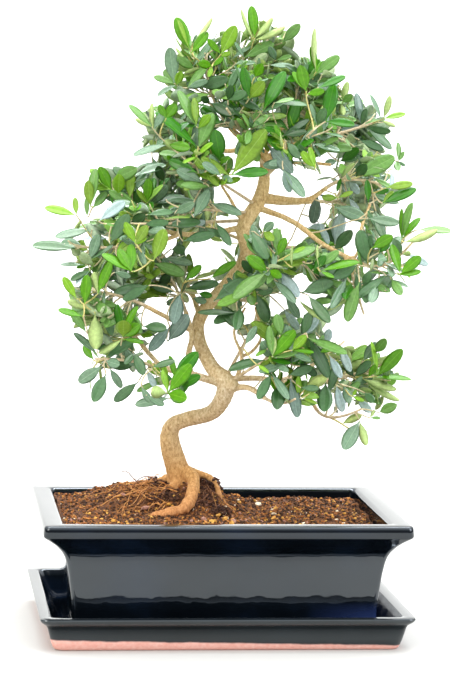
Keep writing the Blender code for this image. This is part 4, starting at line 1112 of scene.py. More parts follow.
def make_crumbs():
    chance = random.Random(SEED)
    prototypes = crumb_prototypes(chance)
    for name, (count, radii, stops) in CRUMBS.items():
        places = []
        for number in range(count):
            radius = radii[0] + (radii[1] - radii[0]) * chance.random() ** FEW_LARGE
            places.append((ground_place(chance, radius * chance.uniform(0.0, CRUMB_LIFT)), radius))
        for kind, pebbles in PEBBLES:
            if kind == name:
                for x, y, radius in pebbles:
                    places.append((np.array((x, y, rough_ground(x, y) + radius * PEBBLE_LIFT)), radius))
        scatter(name, places, prototypes, chance, earth(name + "_mix", stops, 1.5))
    make_clods(chance, prototypes)
    count, radii, stops = CHIPS
    places = []
    for number in range(count):
        radius = chance.uniform(*radii)
        depth = radius * chance.uniform(*CHIP_DEPTHS)
        size = np.array((radius, depth, radius * chance.uniform(*CHIP_HEIGHTS)))
        places.append((ground_place(chance, radius * CHIP_LIFT), size))
    scatter("bark_chips", places, prototypes, chance, earth("pine_bark", stops, 1.2))


# Limbs

def smooth_route(points, steps):
    """Points on a smooth curve through the given rows, whose columns may include a thickness."""
    rows = [Vector(row) for row in points]
    ends = [rows[0] * 2 - rows[1]] + rows + [rows[-1] * 2 - rows[-2]]
    route = []
    for before, start, end, after in zip(ends, ends[1:], ends[2:], ends[3:]):
        for step in range(steps):
            t = step / steps
            route.append(0.5 * ((2 * start) + (end - before) * t
                                + (2 * before - 5 * start + 4 * end - after) * t ** 2
                                + (3 * start - before - 3 * end + after) * t ** 3))
    route.append(rows[-1])
    return route


def tapered(points, foot, tip, steps):
    """A smooth route with a thickness that falls evenly from its foot to its tip."""
    taper = (tip - foot) / (len(points) - 1)
    rows = [(*point, foot + taper * index) for index, point in enumerate(points)]
    return smooth_route(rows, steps)


def limbs_mesh(name, routes, sides_level, swell=0.0):
    """Round limbs of any number, each a spline of one curve, made a mesh with closed ends."""
    deselect()
    bpy.ops.curve.primitive_bezier_curve_add()
    guide = newest(name)
    curve = guide.data
    curve.splines.clear()
    curve.dimensions = "3D"
    curve.bevel_depth = MM
    curve.bevel_resolution = sides_level
    curve.use_fill_caps = True
    curve.twist_mode = "MINIMUM"
    for route in routes:
        spline = curve.splines.new("POLY")
        spline.points.add(len(route) - 1)
        for point, row in zip(spline.points, route):
            point.co = (row[0] * MM, row[1] * MM, row[2] * MM, 1.0)
            point.radius = row[3] / 2.0 + swell
    active(guide)
    bpy.ops.object.convert(target="MESH")
    limbs = bpy.context.object
    bpy.ops.object.mode_set(mode="EDIT")
    bpy.ops.mesh.select_all(action="SELECT")
    bpy.ops.mesh.remove_doubles(threshold=LIMB_WELD * MM)
    bpy.ops.mesh.normals_make_consistent(inside=False)
    bpy.ops.object.mode_set(mode="OBJECT")
    return limbs


# Bark relief: the height up to which the trunk is pitted and the roots are knuckled, and over what height it
# fades. Then the size and rise of its lumps, how they are drawn out, and what share of them is left above.
PITTED, PITTED_FADE = 135.0, 60.0
KNUCKLED, KNUCKLED_FADE = 88.0, 14.0
FURROWS, FURROW_DRAWN, FURROWS_LEFT = ((1.5, 0.30), (0.75, 0.16)), 0.45, 0.22
SWELLINGS, SWELLINGS_LEFT = ((7.0, 0.35),), 0.4
KNUCKLES = ((3.4, 0.75),)
RINGS, RING_DRAWN = ((1.1, 0.10),), 0.3


def bark_relief(place):
    """How far the bark stands out at a place: knuckled roots, a pitted lower trunk, smooth above."""
    low = min(1.0, max(0.0, (PITTED - place.z) / PITTED_FADE))
    root = min(1.0, max(0.0, (KNUCKLED - place.z) / KNUCKLED_FADE))
    swelling = lumpy(place, SWELLINGS) * (SWELLINGS_LEFT + (1.0 - SWELLINGS_LEFT) * low)
    upright = Vector((place.x, place.y, place.z * FURROW_DRAWN))
    furrow = lumpy(upright, FURROWS) * (FURROWS_LEFT + (1.0 - FURROWS_LEFT) * low)
    ring = lumpy(Vector((place.x * RING_DRAWN, place.y * RING_DRAWN, place.z)), RINGS)
    return swelling + furrow + ring + lumpy(place, KNUCKLES) * root


def limb_routes():
    """All the woody limbs that the bark covers, from the roots up."""
    routes = [smooth_route(TRUNK, 6)]
    routes += [smooth_route(points, 5) for points in ROOTS.values()]
    routes += [tapered(bough.route, bough.foot, bough.tip, 5) for bough in BOUGHS.values()]
    routes += [tapered(points, foot, tip, 4) for points, foot, tip in BRANCHLETS]
    return routes


LIMB_SWELL = 0.12
VOXEL = 0.5
EASE = (0.5, 4)                  # how strongly the fused wood is smoothed, and how often


def make_limbs(routes):
    """Trunk, roots and boughs grown together, with the bark's relief."""
    wood = limbs_mesh("trunk_and_boughs", routes, 5, swell=LIMB_SWELL)
    balls = []
    for x, y, z, size in BURLS:
        deselect()
        bpy.ops.mesh.primitive_uv_sphere_add(segments=24, ring_count=16, radius=size / 2 * MM,
                                             location=mm(x, y, z))
        balls.append(newest("burl"))
    active(wood)
    for ball in balls:
        ball.select_set(True)
    bpy.ops.object.join()
    fuse = wood.modifiers.new("fuse", "REMESH")
    fuse.mode = "VOXEL"
    fuse.voxel_size = VOXEL * MM
    ease = wood.modifiers.new("ease", "SMOOTH")
    ease.factor, ease.iterations = EASE
    apply_all(wood)
    for vertex, normal in zip(wood.data.vertices, [v.normal.copy() for v in wood.data.vertices]):
        vertex.co += normal * bark_relief(vertex.co / MM) * MM
    finish_piece(wood, [olive_bark()], WOOD_ANGLE)
    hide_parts("trunk", *["bough_" + name for name in BOUGHS])


# Fine roots on the soil: kind, where they start, middle direction in degrees, spread, how many, length.
ROOT_FANS = (
    ("fine_roots", (-30, 11), 178.0, 26.0, 26, (16.0, 52.0)),
    ("fine_roots", (-26, 2), 190.0, 34.0, 12, (12.0, 30.0)),
    ("fine_roots", (-26, 26), 150.0, 45.0, 7, (14.0, 32.0)),
    ("fine_roots", (3, 6), 300.0, 50.0, 7, (8.0, 18.0)),
    ("dark_roots", (-7, 8), 285.0, 60.0, 26, (7.0, 17.0)),
    ("dark_roots", (-26, 6), 205.0, 50.0, 24, (8.0, 26.0)),
)
ROOT_BARK = {"fine_roots": ("#A05E22", "#DCA058"), "dark_roots": ("#4A2A18", "#8C5A34")}

# Roots that stand up off the soil.
WISPS = (
    ((-53, 9, 86.0), (-50, 9, 86.0), (-46.5, 9, 82.5), (-43, 10, 79.0)),
    ((-46, 9, 78.0), (-42, 9, 82.4), (-37, 9, 83.0), (-31, 10, 80.5)),
    ((-57, 6, 77.0), (-55.5, 6, 79.0), (-52, 7, 78.6), (-48, 8, 76.0)),
)
WISP = (0.45, 0.7)               # thickness at both ends

# Fine roots: the length of a step, thickness, arches, how far they lie over the ground, and how they wander.
ROOT_STEP = 2.4
ROOT_THICK = (0.34, 0.75)        # at least, and how much more the thickest has
FEW_THICK = 2.5
ARCHED_SHARE = 0.65
ARCH_HEIGHT = (0.8, 4.2)
FLAT_HEIGHT = 0.3
ARCH_LENGTH = (9.0, 18.0)
ROOT_LIFT = 0.4
ROOT_TAPER = 0.6
WANDER = 0.32                    # radians at each step
ROOT_GAP = 2                     # from the pot's wall
FAN_SPREAD = 5                   # round the place that a fan of roots starts at


def fine_root(start, heading, length, chance):
    """A thin root that wanders over the soil, in low arches that lift off it here and there."""
    x, y = start
    points = []
    steps = max(6, int(length / ROOT_STEP))
    thick = ROOT_THICK[0] + ROOT_THICK[1] * chance.random() ** FEW_THICK
    lift = chance.uniform(*ARCH_HEIGHT) if chance.random() < ARCHED_SHARE else FLAT_HEIGHT
    waves = length / chance.uniform(*ARCH_LENGTH)
    for step in range(steps + 1):
        share = step / steps
        arch = abs(math.sin(math.pi * waves * share)) * (1.0 - 0.5 * share)
        height = rough_ground(x, y) + ROOT_LIFT + lift * arch
        points.append((x, y, height, thick * (1.0 - ROOT_TAPER * share)))
        heading += chance.uniform(-WANDER, WANDER)
        x += math.cos(heading) * length / steps
        y += math.sin(heading) * length / steps
        x = min(max(x, -SOIL_BED[0] + ROOT_GAP), SOIL_BED[0] - ROOT_GAP)
        y = min(max(y, -SOIL_BED[1] + ROOT_GAP), SOIL_BED[1] - ROOT_GAP)
    return smooth_route(points, 2)


def make_fine_roots():
    for kind, (dark, pale) in ROOT_BARK.items():
        chance = random.Random(SEED + len(kind))
        routes = []
        for fan, (x, y), middle, spread, count, lengths in ROOT_FANS:
            for number in range(count if fan == kind else 0):
                heading = math.radians(middle + chance.uniform(-spread, spread))
                across = chance.uniform(-FAN_SPREAD, FAN_SPREAD)
                start = (x + across, y + chance.uniform(-FAN_SPREAD, FAN_SPREAD))
                routes.append(fine_root(start, heading, chance.uniform(*lengths), chance))
        if kind == "dark_roots":
            routes += [tapered(points, *WISP, 3) for points in WISPS]
        bark = twig_bark(kind + "_bark", dark, pale)
        finish_piece(limbs_mesh(kind, routes, 1), [bark], WOOD_ANGLE)


# Crown: the spaces

def share_of_space(point, name):
    """0 at the middle of the mass's space and 1 at its edge."""
    middle, reach = MASSES[name].middle, MASSES[name].reach
    return math.sqrt(sum(((point[k] - middle[k]) / reach[k]) ** 2 for k in range(3)))


def in_own_space(point, name, limit):
    """Inside the mass's own space, and nearer to its middle than to any other mass's."""
    share = share_of_space(point, name)
    return share <= limit and all(share < share_of_space(point, other) for other in MASSES if other != name)


def on_trunk(place):
    """The point on the trunk's middle line that is nearest to a place."""
    route = [row.to_3d() for row in smooth_route(TRUNK, 4)]
    return min(route[1:-1], key=lambda point: (point - Vector(place)).length)


def stem_route(name):
    """From inside its limb, in the limb's direction, bending to beyond the middle of the space."""
    mass = MASSES[name]
    middle = Vector(mass.middle)
    if mass.limb == "trunk":
        start = on_trunk(mass.place)
        heading = (middle - start).normalized()
    else:
        bough = BOUGHS[mass.limb]
        route = tapered(bough.route, bough.foot, bough.tip, 2)
        heading = (route[-1].to_3d() - route[-2].to_3d()).normalized()
        start = route[-1].to_3d() - heading
    onward = (middle - start).normalized()
    end = middle + onward * min(mass.reach) * STEM_PAST
    bend = start + heading * (end - start).length * STEM_BEND + Vector(SWERVES.get(name, (0, 0, 0)))
    points = []
    for step in range(STEM_STEPS + 1):
        t = step / STEM_STEPS
        points.append(start * (1 - t) ** 2 + bend * 2 * t * (1 - t) + end * t ** 2)
    return points


def along(route, t):
    """The point a share t of the way along a route, and the route's direction there."""
    place = min(max(t, 0.0) * (len(route) - 1), len(route) - 1.001)
    index = int(place)
    start, end = route[index], route[index + 1]
    return start.lerp(end, place - index), (end - start).normalized()


def bezier(foot, first, second, tip):
    """Points on a cubic curve from its foot to its tip, drawn towards two guide points."""
    points = []
    for step in range(CURVE_STEPS + 1):
        t = step / CURVE_STEPS
        points.append(foot * (1 - t) ** 3 + first * 3 * t * (1 - t) ** 2
                      + second * 3 * t ** 2 * (1 - t) + tip * t ** 3)
    return points


def arched(foot, tip, direction):
    """A shoot's route: it leaves along its stem's direction, and its tip turns up a little."""
    run = (tip - foot).length
    ahead = (tip - foot).normalized()
    first = foot + (direction * SHOOT_KEEPS + ahead * (1.0 - SHOOT_KEEPS)).normalized() * run * SHOOT_FIRST
    second = tip - (ahead + Vector((0, 0, SHOOT_LIFT))).normalized() * run * SHOOT_SECOND
    return bezier(foot, first, second, tip)


def shoot_routes(name, stem, chance):
    """Shoots fan out from the stem to places spread evenly round the space by the golden angle."""
    mass = MASSES[name]
    turn = chance.uniform(0.0, 2 * math.pi)
    count = round(mass.shoots * SHOOTS_MORE)
    routes = []
    for number in range(count):
        height = 1.0 - (2.0 * number + 1.0) / count
        flat = math.sqrt(1.0 - height ** 2)
        angle = turn + number * GOLDEN_ANGLE
        aim = Vector((math.cos(angle) * flat, math.sin(angle) * flat, height))
        push = SHOOT_REACH * chance.uniform(*REACH_SPREAD)
        tip = Vector([mass.middle[k] + mass.reach[k] * aim[k] * push for k in range(3)])
        best = None
        for t in SHOOT_FEET:
            foot, direction = along(stem, t)
            run = tip - foot
            cost = run.length * (SHOOT_COST - run.normalized().dot(direction))
            if share_of_space(foot, name) < 1.0 and (best is None or cost < best[0]):
                best = (cost, foot, direction)
        if best is not None and in_own_space(tip, name, SHOOT_SPACE):
            routes.append(arched(best[1], tip, best[2]))
    return routes


def fork_twigs(route, name, chance):
    """Twigs that fork from a shoot in its outer half."""
    twigs = []
    for t in TWIG_FEET:
        if chance.random() > TWIG_CHANCE:
            continue
        foot, direction = along(route, t)
        around = Matrix.Rotation(chance.uniform(0, 2 * math.pi), 3, direction)
        side = around @ direction.orthogonal().normalized()
        opening = math.radians(TWIG_OPENING + chance.uniform(-TWIG_LOOSE, TWIG_LOOSE))
        heading = direction * math.cos(opening) + side * math.sin(opening)
        tip = foot + heading * chance.uniform(*TWIG_LENGTH)
        if in_own_space(tip, name, SHOOT_SPACE):
            twigs.append(arched(foot, tip, direction))
    return twigs


# Crown: the sprays that the photo shows

CAMERA = Vector(CAMERA_PLACE)


def in_plane(x, z):
    """Where a place on the reading grid lies in the upright plane through the trunk."""
    turn = Euler([math.radians(angle) for angle in CAMERA_TURN]).to_matrix()
    ray = turn @ Vector((x - GRID_MIDDLE[0], z - GRID_MIDDLE[1], -GRID_DISTANCE))
    place = CAMERA - ray * (CAMERA.y / ray.y)
    return place.x, place.z


EDGE = [in_plane(x, z) for x, z in CROWN_EDGE]
GAPS = [(*in_plane(x, z), wide, high) for x, z, wide, high in SKY]


def seen_at(x, z, y):
    """The place at a depth that shows where (x, 0, z) would."""
    flat = Vector((x, 0.0, z))
    return CAMERA + (flat - CAMERA) * ((y - CAMERA.y) / (0.0 - CAMERA.y))


def shown(point):
    """Across and up in the plane through the trunk, where the camera sees a place."""
    flat = CAMERA + (point - CAMERA) * ((0.0 - CAMERA.y) / (point.y - CAMERA.y))
    return flat.x, flat.z


def inside_edge(x, z):
    """Whether a place in that plane is inside the crown's edge."""
    inside = False
    for (x0, z0), (x1, z1) in zip(EDGE, EDGE[1:] + EDGE[:1]):
        if (z0 > z) != (z1 > z) and x < x0 + (z - z0) / (z1 - z0) * (x1 - x0):
            inside = not inside
    return inside


def open_sky(point):
    x, z = shown(point)
    if not inside_edge(x, z):
        return True
    return any(((x - gap_x) / (wide + SKY_MARGIN)) ** 2 + ((z - gap_z) / (high + SKY_MARGIN)) ** 2 < 1.0
               for gap_x, gap_z, wide, high in GAPS)


def seen_leaf(node, angle, length, width, tone, chance):
    """A leaf as the camera sees it: its true size, and how it leans and rolls to look so long and wide."""
    view = (node - CAMERA).normalized()
    right = view.cross(Vector((0, 0, 1))).normalized()
    up = right.cross(view)
    flat = right * math.cos(math.radians(angle)) + up * math.sin(math.radians(angle))
    if width > ROUND_LOOK * length:
        true_length = width / FULL_WIDTH
        lean = math.acos(length / true_length)
        true_width, roll = width, 0.0
    else:
        lean = math.radians(chance.uniform(*SEEN_LEAN))
        true_length = length / math.cos(lean)
        true_width = max(width, SLIM_WIDTH * length)
        roll = math.acos(width / true_width) * chance.choice((-1.0, 1.0))
    heading = flat * math.cos(lean) - view * math.sin(lean)
    face = (-view - heading * (-view).dot(heading)).normalized()
    if roll and (Matrix.Rotation(roll, 3, heading) @ face).z < 0.0:
        roll = -roll
    face = Matrix.Rotation(roll, 3, heading) @ face
    if tone == "pale":
        face.negate()
    return Leaf(node, heading, face, true_length, true_width / true_length, chance.uniform(*SEEN_BEND), tone)


def nearest_wood(wood, node, heading):
    """Where a twig to a node leaves its mass's wood: not far, and without a sharp turn."""
    best = None
    for point, direction in wood:
        run = node - point
        if run.length < 1.0:
            continue
        ahead = run.normalized()
        cost = run.length * (TWIG_COST - ahead.dot(heading) - WOOD_SHARE * ahead.dot(direction))
        if best is None or cost < best[0]:
            best = (cost, point, direction)
    return best[1], best[2]


def curved(foot, tip, start, end):
    """A twig's route, which leaves along one direction, keeps behind its leaves and arrives along another."""
    run = (tip - foot).length
    ahead = (tip - foot).normalized()
    behind = Vector((0.0, TWIG_BEHIND * run, 0.0))
    first = foot + (start * TWIG_KEEPS + ahead * (1.0 - TWIG_KEEPS)).normalized() * run * TWIG_FIRST + behind
    second = tip - end * run * TWIG_SECOND + behind
    return bezier(foot, first, second, tip)


def wood_of(name, stem):
    """Points on a mass's stem and on the outer part of its limb, with the wood's direction at each."""
    routes = [stem]
    limb = MASSES[name].limb
    if limb != "trunk":
        bough = BOUGHS[limb]
        route = [row.to_3d() for row in tapered(bough.route, bough.foot, bough.tip, 4)]
        routes.append(route[len(route) // 2:])
    return [(point, (route[min(k + 1, len(route) - 1)] - route[max(k - 1, 0)]).normalized())
            for route in routes for k, point in enumerate(route)]


SHOWN_SHARES = (0.2, 0.4, 0.6, 0.8, 1.0)    # places along a seen leaf that nothing may stand in front of
ONE_SIDED = 0.3                  # past this length, the sum of a node's leaf directions gives the twig's


def shown_sprays(name, stem, crown, chance):
    """The leaves of a mass that the photo shows, and a twig to each of their nodes."""
    wood = wood_of(name, stem)
    twigs, leaves = [], []
    for x, z, rows in SPRAYS.get(name, ()):
        depth = MASSES[name].middle[1] + DEPTHS[rows[0][3]]
        depth += chance.uniform(-DEPTH_SPREAD, DEPTH_SPREAD)
        best = None
        for push in DEPTH_TRIES:
            node = seen_at(*in_plane(x, z), depth + push)
            shift = chance.getstate()
            made = [seen_leaf(node, *row, chance) for row in rows]
            chance.setstate(shift)
            clashes = sum(crown.crowded(blade_points(leaf.root, leaf.heading, leaf.length)) for leaf in made)
            if best is None or clashes < best[0]:
                best = (clashes, node, made)
            if clashes == 0:
                break
        node, made = best[1:]
        chance.random()          # the tries put their draws back, so one more is drawn for the next node
        heading = sum((leaf.heading for leaf in made), Vector())
        one_sided = heading.length > ONE_SIDED
        foot, direction = nearest_wood(wood, node, heading.normalized() if one_sided else Vector((0, 0, 1)))
        run = (node - foot).normalized()
        end = (heading.normalized() + run).normalized() if one_sided else run
        route = curved(foot, node, direction, end)
        wood += [(point, (route[-1] - route[0]).normalized()) for point in route[2:-1]]
        age = "young" if rows[0][3] in PIECES["young_leaves"] else "mature"
        twigs.append(Spray(name, route, *NODE_TWIG, age))
        for index, leaf in enumerate(made):
            leaves.append(leaf._replace(root=node - end * NODE_STEP * (index // 2)))
            crown.add(blade_points(leaf.root, leaf.heading, leaf.length))
            crown.show([leaf.root + leaf.heading * leaf.length * share for share in SHOWN_SHARES])
    return twigs, leaves


def veils(crown, route):
    """Whether a shoot would pass in front of the leaves that the photo shows."""
    return sum(crown.hides_seen(point) for point in route[1:]) > 1


def grow_sprays(crown):
    """Stems, shoots and twigs of every mass, and the leaves of the sprays that the photo shows."""
    grown, seen, leaves = [], [], []
    for number, name in enumerate(MASSES):
        stem = stem_route(name)
        seen.append(Spray(name, stem, *STEM, "mature"))
        twigs, made = shown_sprays(name, stem, crown, random.Random(SEED * 3 + number))
        seen += twigs
        leaves += made
    for number, name in enumerate(MASSES):
        chance = random.Random(SEED + number)
        for route in shoot_routes(name, stem_route(name), chance):
            age = "young" if chance.random() < YOUNG_SHARE else "mature"
            if any(open_sky(point) for point in route[3:]) or veils(crown, route):
                continue
            shoot = len(grown)
            grown.append(Spray(name, route, *SHOOT, age))
            for twig in fork_twigs(route, name, chance):
                if not open_sky(twig[-1]) and not veils(crown, twig):
                    grown.append(Spray(name, twig, *TWIG, age, shoot))
    return grown, seen, leaves


# Crown: the leaves

Leaf = namedtuple("Leaf", "root heading upward length width bend tone")


def facing(place, direction, chance):
    """Where a leaf's upper face looks: up, out of the crown, and somewhat at random."""
    around = chance.uniform(0.0, 2.0 * math.pi)
    side = Vector((math.cos(around), math.sin(around), 0.0))
    outward = Vector((place.x - CROWN_AXIS[0], place.y - CROWN_AXIS[1], 0.0)).normalized()
    if side.dot(outward) < 0.0:
        side.negate()
    return side * FACING[0] + outward * FACING[1] + direction * FACING[2] + Vector((0.0, 0.0, FACING[3]))


BLADE_SHARES = (0.35, 0.65, 0.95)    # places along a leaf that keep clear of other leaves and of limbs


def blade_points(root, heading, length):
    return [root + heading * length * share for share in BLADE_SHARES]


class Crown:
    """What already stands in the crown, so that a new leaf keeps clear of it."""

    def __init__(self, routes):
        count = sum(len(route) for route in routes)
        self.limbs = KDTree(count)
        self.thickness = []
        for route in routes:
            for row in route:
                self.limbs.insert(row.to_3d(), len(self.thickness))
                self.thickness.append(row[3] / 2)
        self.limbs.balance()
        self.cells = {}
        self.seen = {}

    def cell(self, point):
        return tuple(int(math.floor(part / LEAF_APART)) for part in point)

    def crowded(self, points, apart=NODE_APART):
        """How many of a blade's points are inside a limb or close to another leaf."""
        count = 0
        for point in points:
            place, index, distance = self.limbs.find(point)
            if distance < self.thickness[index] + LIMB_APART:
                count += 3
            x, y, z = self.cell(point)
            for near in [(x + i, y + j, z + k) for i in (-1, 0, 1) for j in (-1, 0, 1) for k in (-1, 0, 1)]:
                count += sum((other - point).length < apart for other in self.cells.get(near, ()))
        return count

    def fits(self, points, name):
        if not in_own_space(points[1], name, 1.0) or share_of_space(points[2], name) > SPACE_EDGE:
            return False
        if any(open_sky(point) or self.hides_seen(point) for point in points):
            return False
        return self.crowded(points, LEAF_APART) == 0

    def show(self, points):
        """Note where the camera sees a leaf that nothing may stand in front of."""
        for point in points:
            x, z = shown(point)
            self.seen.setdefault((int(x // HIDE), int(z // HIDE)), []).append((x, z, point.y))

    def hides_seen(self, point):
        x, z = shown(point)
        across, up = int(x // HIDE), int(z // HIDE)
        for near in [(across + i, up + j) for i in (-1, 0, 1) for j in (-1, 0, 1)]:
            for seen_x, seen_z, depth in self.seen.get(near, ()):
                if depth > point.y - 1.0 and math.hypot(seen_x - x, seen_z - z) < HIDE:
                    return True
        return False

    def add(self, points):
        for point in points:
            self.cells.setdefault(self.cell(point), []).append(point)


def leaf_on(spray, node, direction, pair, half, turn, chance):
    """Ways for one leaf of a pair to stand: each pair is a quarter turn on from the last."""
    age = AGES[spray.age]
    side = direction.orthogonal().normalized()
    opening = age.opening[0] + (age.opening[1] - age.opening[0]) * min(1.0, pair / 2)
    for trial in range(LEAF_TRIES):
        loose = TURN_LOOSE + TURN_MORE * trial
        around = turn + math.pi * half + math.pi / 2 * pair + chance.uniform(-loose, loose)
        out = Matrix.Rotation(around, 3, direction) @ side
        angle = math.radians(opening + chance.uniform(-OPEN_LOOSE, OPEN_LOOSE) + OPEN_MORE * trial)
        heading = direction * math.cos(angle) + out * math.sin(angle)
        heading = (heading + Vector((0.0, 0.0, chance.uniform(*LEAF_LIFT)))).normalized()
        length = chance.uniform(*age.length) * (1.0 - SHORTER * trial)
        if spray.age == "young" and pair == 0:
            length *= FIRST_YOUNG
        yield node, heading, facing(node, direction, chance), length


def dealt_tone(age, chance):
    names, weights = zip(*(YOUNG_TONES if age == "young" else OLD_TONES))
    return chance.choices(names, weights)[0]


def grow_leaves(sprays, crown):
    """The tip pairs of all sprays first, then the pairs behind them, so that the outline fills first."""
    chances = [random.Random(SEED * 2 + number) for number in range(len(sprays))]
    turns = [chance.uniform(0.0, math.pi) for chance in chances]
    tones = [dealt_tone(spray.age, chance) for spray, chance in zip(sprays, chances)]
    leaves, bearing = [], set()
    for pair in range(MOST_PAIRS):
        for number, (spray, turn, tone, chance) in enumerate(zip(sprays, turns, tones, chances)):
            age = AGES[spray.age]
            length = sum((b - a).length for a, b in zip(spray.route, spray.route[1:]))
            back = TIP_NODE + pair * age.internode
            if back > length * LEAFY_SHARE:
                continue
            node, direction = along(spray.route, 1.0 - back / length)
            for half in (0, 1):
                for root, heading, upward, size in leaf_on(spray, node, direction, pair, half, turn, chance):
                    points = blade_points(root, heading, size)
                    if crown.fits(points, spray.mass):
                        crown.add(points)
                        leaves.append(Leaf(root, heading, upward, size, chance.uniform(*age.width),
                                           chance.uniform(*LEAF_BEND), tone))
                        bearing.update((number, spray.parent))
                        break
    return leaves, [spray for number, spray in enumerate(sprays) if number in bearing]


# The leaf's grid: rows along it, and columns across it as shares of its half width.
LEAF_ROWS = (0.0, 0.07, 0.15, 0.28, 0.44, 0.62, 0.78, 0.90, 0.97, 1.0)
RIB = 0.044                      # the paler midrib's half width
LEAF_COLUMNS = (-1.0, -0.55, -RIB, RIB, 0.55, 1.0)
STALK = 0.07
STALK_WIDTH = 0.09
TIP_WIDTH = 0.06
WIDEST = 0.53                    # where along the blade it is widest
ROUNDED, BLUNT = 0.95, 2.05      # powers of the outline towards the stalk and towards the tip
LEAF_THICKNESS = 0.014
LEAF_FOLDS = (0.12, 0.26, 0.4)
FOLD_EASE = 0.35                 # how far the folded blade flattens out towards its edges
RIB_MOST = 0.5                   # of the leaf's half width there, at the stalk and the tip


def outline(t):
    """Half the blade's width at a share t of its length: a wedge at the stalk and a blunt, rounded tip."""
    if t <= STALK:
        return STALK_WIDTH
    blade = (t - STALK) / (1.0 - STALK)
    if blade < WIDEST:
        return max(STALK_WIDTH, math.sin(math.pi / 2 * blade / WIDEST) ** ROUNDED)
    return max(TIP_WIDTH, math.sqrt(max(0.0, 1.0 - ((blade - WIDEST) / (1.0 - WIDEST)) ** BLUNT)))


def leaf_prototype(fold):
    """A leaf one unit long and one wide: a grid shaped row by row, and a flatter one under it.

    Slot 0 is the upper skin, 1 the midrib and 2 the underside.
    """
    across, along_it = len(LEAF_COLUMNS) - 1, len(LEAF_ROWS) - 1
    deselect()
    bpy.ops.mesh.primitive_grid_add(x_subdivisions=across, y_subdivisions=along_it, size=2.0)
    upper = newest("leaf_upper")
    shape_rows(upper, LEAF_COLUMNS, fold, 0.0)
    deselect()
    bpy.ops.mesh.primitive_grid_add(x_subdivisions=2, y_subdivisions=along_it, size=2.0)
    lower = newest("leaf_lower")
    shape_rows(lower, (-1.0, 0.0, 1.0), fold, LEAF_THICKNESS)
    vertices, faces = arrays_of(upper)
    low_vertices, low_faces = arrays_of(lower)
    rib = [abs(np.mean(vertices[face, 0])) < 1e-6 for face in faces]
    slots = [1 if middle else 0 for middle in rib] + [2] * len(low_faces)
    faces = faces + [[index + len(vertices) for index in reversed(face)] for face in low_faces]
    return np.vstack((vertices, low_vertices)), faces, slots


def shape_rows(sheet, columns, fold, drop):
    """Move each row of a grid to its place along the leaf, drawn in to the outline and folded."""
    mesh = sheet.data
    width = len(columns)
    for vertex in mesh.vertices:
        row, column = divmod(vertex.index, width)
        t = LEAF_ROWS[row]
        half = outline(t)
        across = columns[column]
        x = across * half
        if abs(across) == RIB:
            x = math.copysign(min(RIB, half * RIB_MOST), across)
        lift = fold * abs(x) - FOLD_EASE * fold * x * x
        under = drop * (1.0 - abs(across)) if 0 < row < len(LEAF_ROWS) - 1 else 0.0
        vertex.co = Vector((x * 0.5, t, lift * 0.5 - under))


def place_leaves(name, leaves, prototypes):
    """Copies of the leaf, each bent, scaled and turned to its place, joined in one mesh."""
    tones = PIECES[name]
    vertices, faces, slots, start = [], [], [], 0
    for number, leaf in enumerate(leaves):
        shape, shape_faces, shape_slots = prototypes[number % len(prototypes)]
        x = shape[:, 0] * leaf.width * leaf.length
        y = shape[:, 1] * leaf.length
        z = shape[:, 2] * leaf.width * leaf.length
        z = z - leaf.bend * leaf.length * (shape[:, 1] ** 2) * 0.5
        across = leaf.upward.cross(leaf.heading).normalized()
        face = leaf.heading.cross(across).normalized()
        axes = np.array((-across, leaf.heading, face))
        vertices.append(np.column_stack((x, y, z)) @ axes + np.array(leaf.root))
        faces.extend([[start + index for index in shape_face] for shape_face in shape_faces])
        slots.extend([slot + 3 * tones.index(leaf.tone) for slot in shape_slots])
        start += len(shape)
    thing = mesh_from_arrays(name, np.vstack(vertices), faces, slots)
    active(thing)
    bpy.ops.object.mode_set(mode="EDIT")
    bpy.ops.mesh.select_all(action="SELECT")
    bpy.ops.mesh.remove_doubles(threshold=LEAF_WELD * MM)
    bpy.ops.object.mode_set(mode="OBJECT")
    materials = []
    for tone_name in tones:
        tone = TONES[tone_name]
        materials.append(leaf_skin(tone_name + "_leaf_wax", tone.skin, tone.rough, tone.ior))
        materials.append(leaf_skin(tone_name + "_midrib", tone.rib, 0.45))
        materials.append(leaf_skin(tone_name + "_underside", tone.under, 0.7))
    finish_piece(thing, materials)
    return thing


# Kinds of twig: how round they are, and the colours of their bark.
TWIGS = (
    ("old_twigs", 2, "#B49C78", "#DCCAA8"),
    ("grown_twigs", 1, "#BCAA80", "#DCD0AC"),
    ("young_twigs", 1, "#BDB060", "#D8D090"),
)


def kind_of_twig(spray):
    if spray.foot == STEM[0]:
        return "old_twigs"
    return "young_twigs" if spray.age == "young" else "grown_twigs"


def make_foliage(sprays, leaves):
    for kind, sides, dark, pale in TWIGS:
        chosen = [spray for spray in sprays if kind_of_twig(spray) == kind]
        routes = [tapered(spray.route, spray.foot * 2, spray.tip * 2, 1) for spray in chosen]
        bark = twig_bark(kind + "_bark", dark, pale)
        finish_piece(limbs_mesh(kind, routes, sides), [bark], WOOD_ANGLE)
    prototypes = [leaf_prototype(fold) for fold in LEAF_FOLDS]
    for name, tones in PIECES.items():
        piece = place_leaves(name, [leaf for leaf in leaves if leaf.tone in tones], prototypes)
        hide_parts(*["foliage_" + mass for mass in MASSES])


# Stage

STUDIO = 2.0                     # how many times the studio's own metres, for room behind the plant

# The sweep, in the studio's metres: half its width, its front edge, its flat part, and the radius that it
# rises by. Then the share of its rows that are flat, and how far it lies below the tray, in metres.
SWEEP_HALF = 4.0
SWEEP_FRONT = -2.2
SWEEP_FLAT = 3.2
SWEEP_RADIUS = 1.6
SWEEP_SHARE = 0.6
SWEEP_DROP = 0.0002

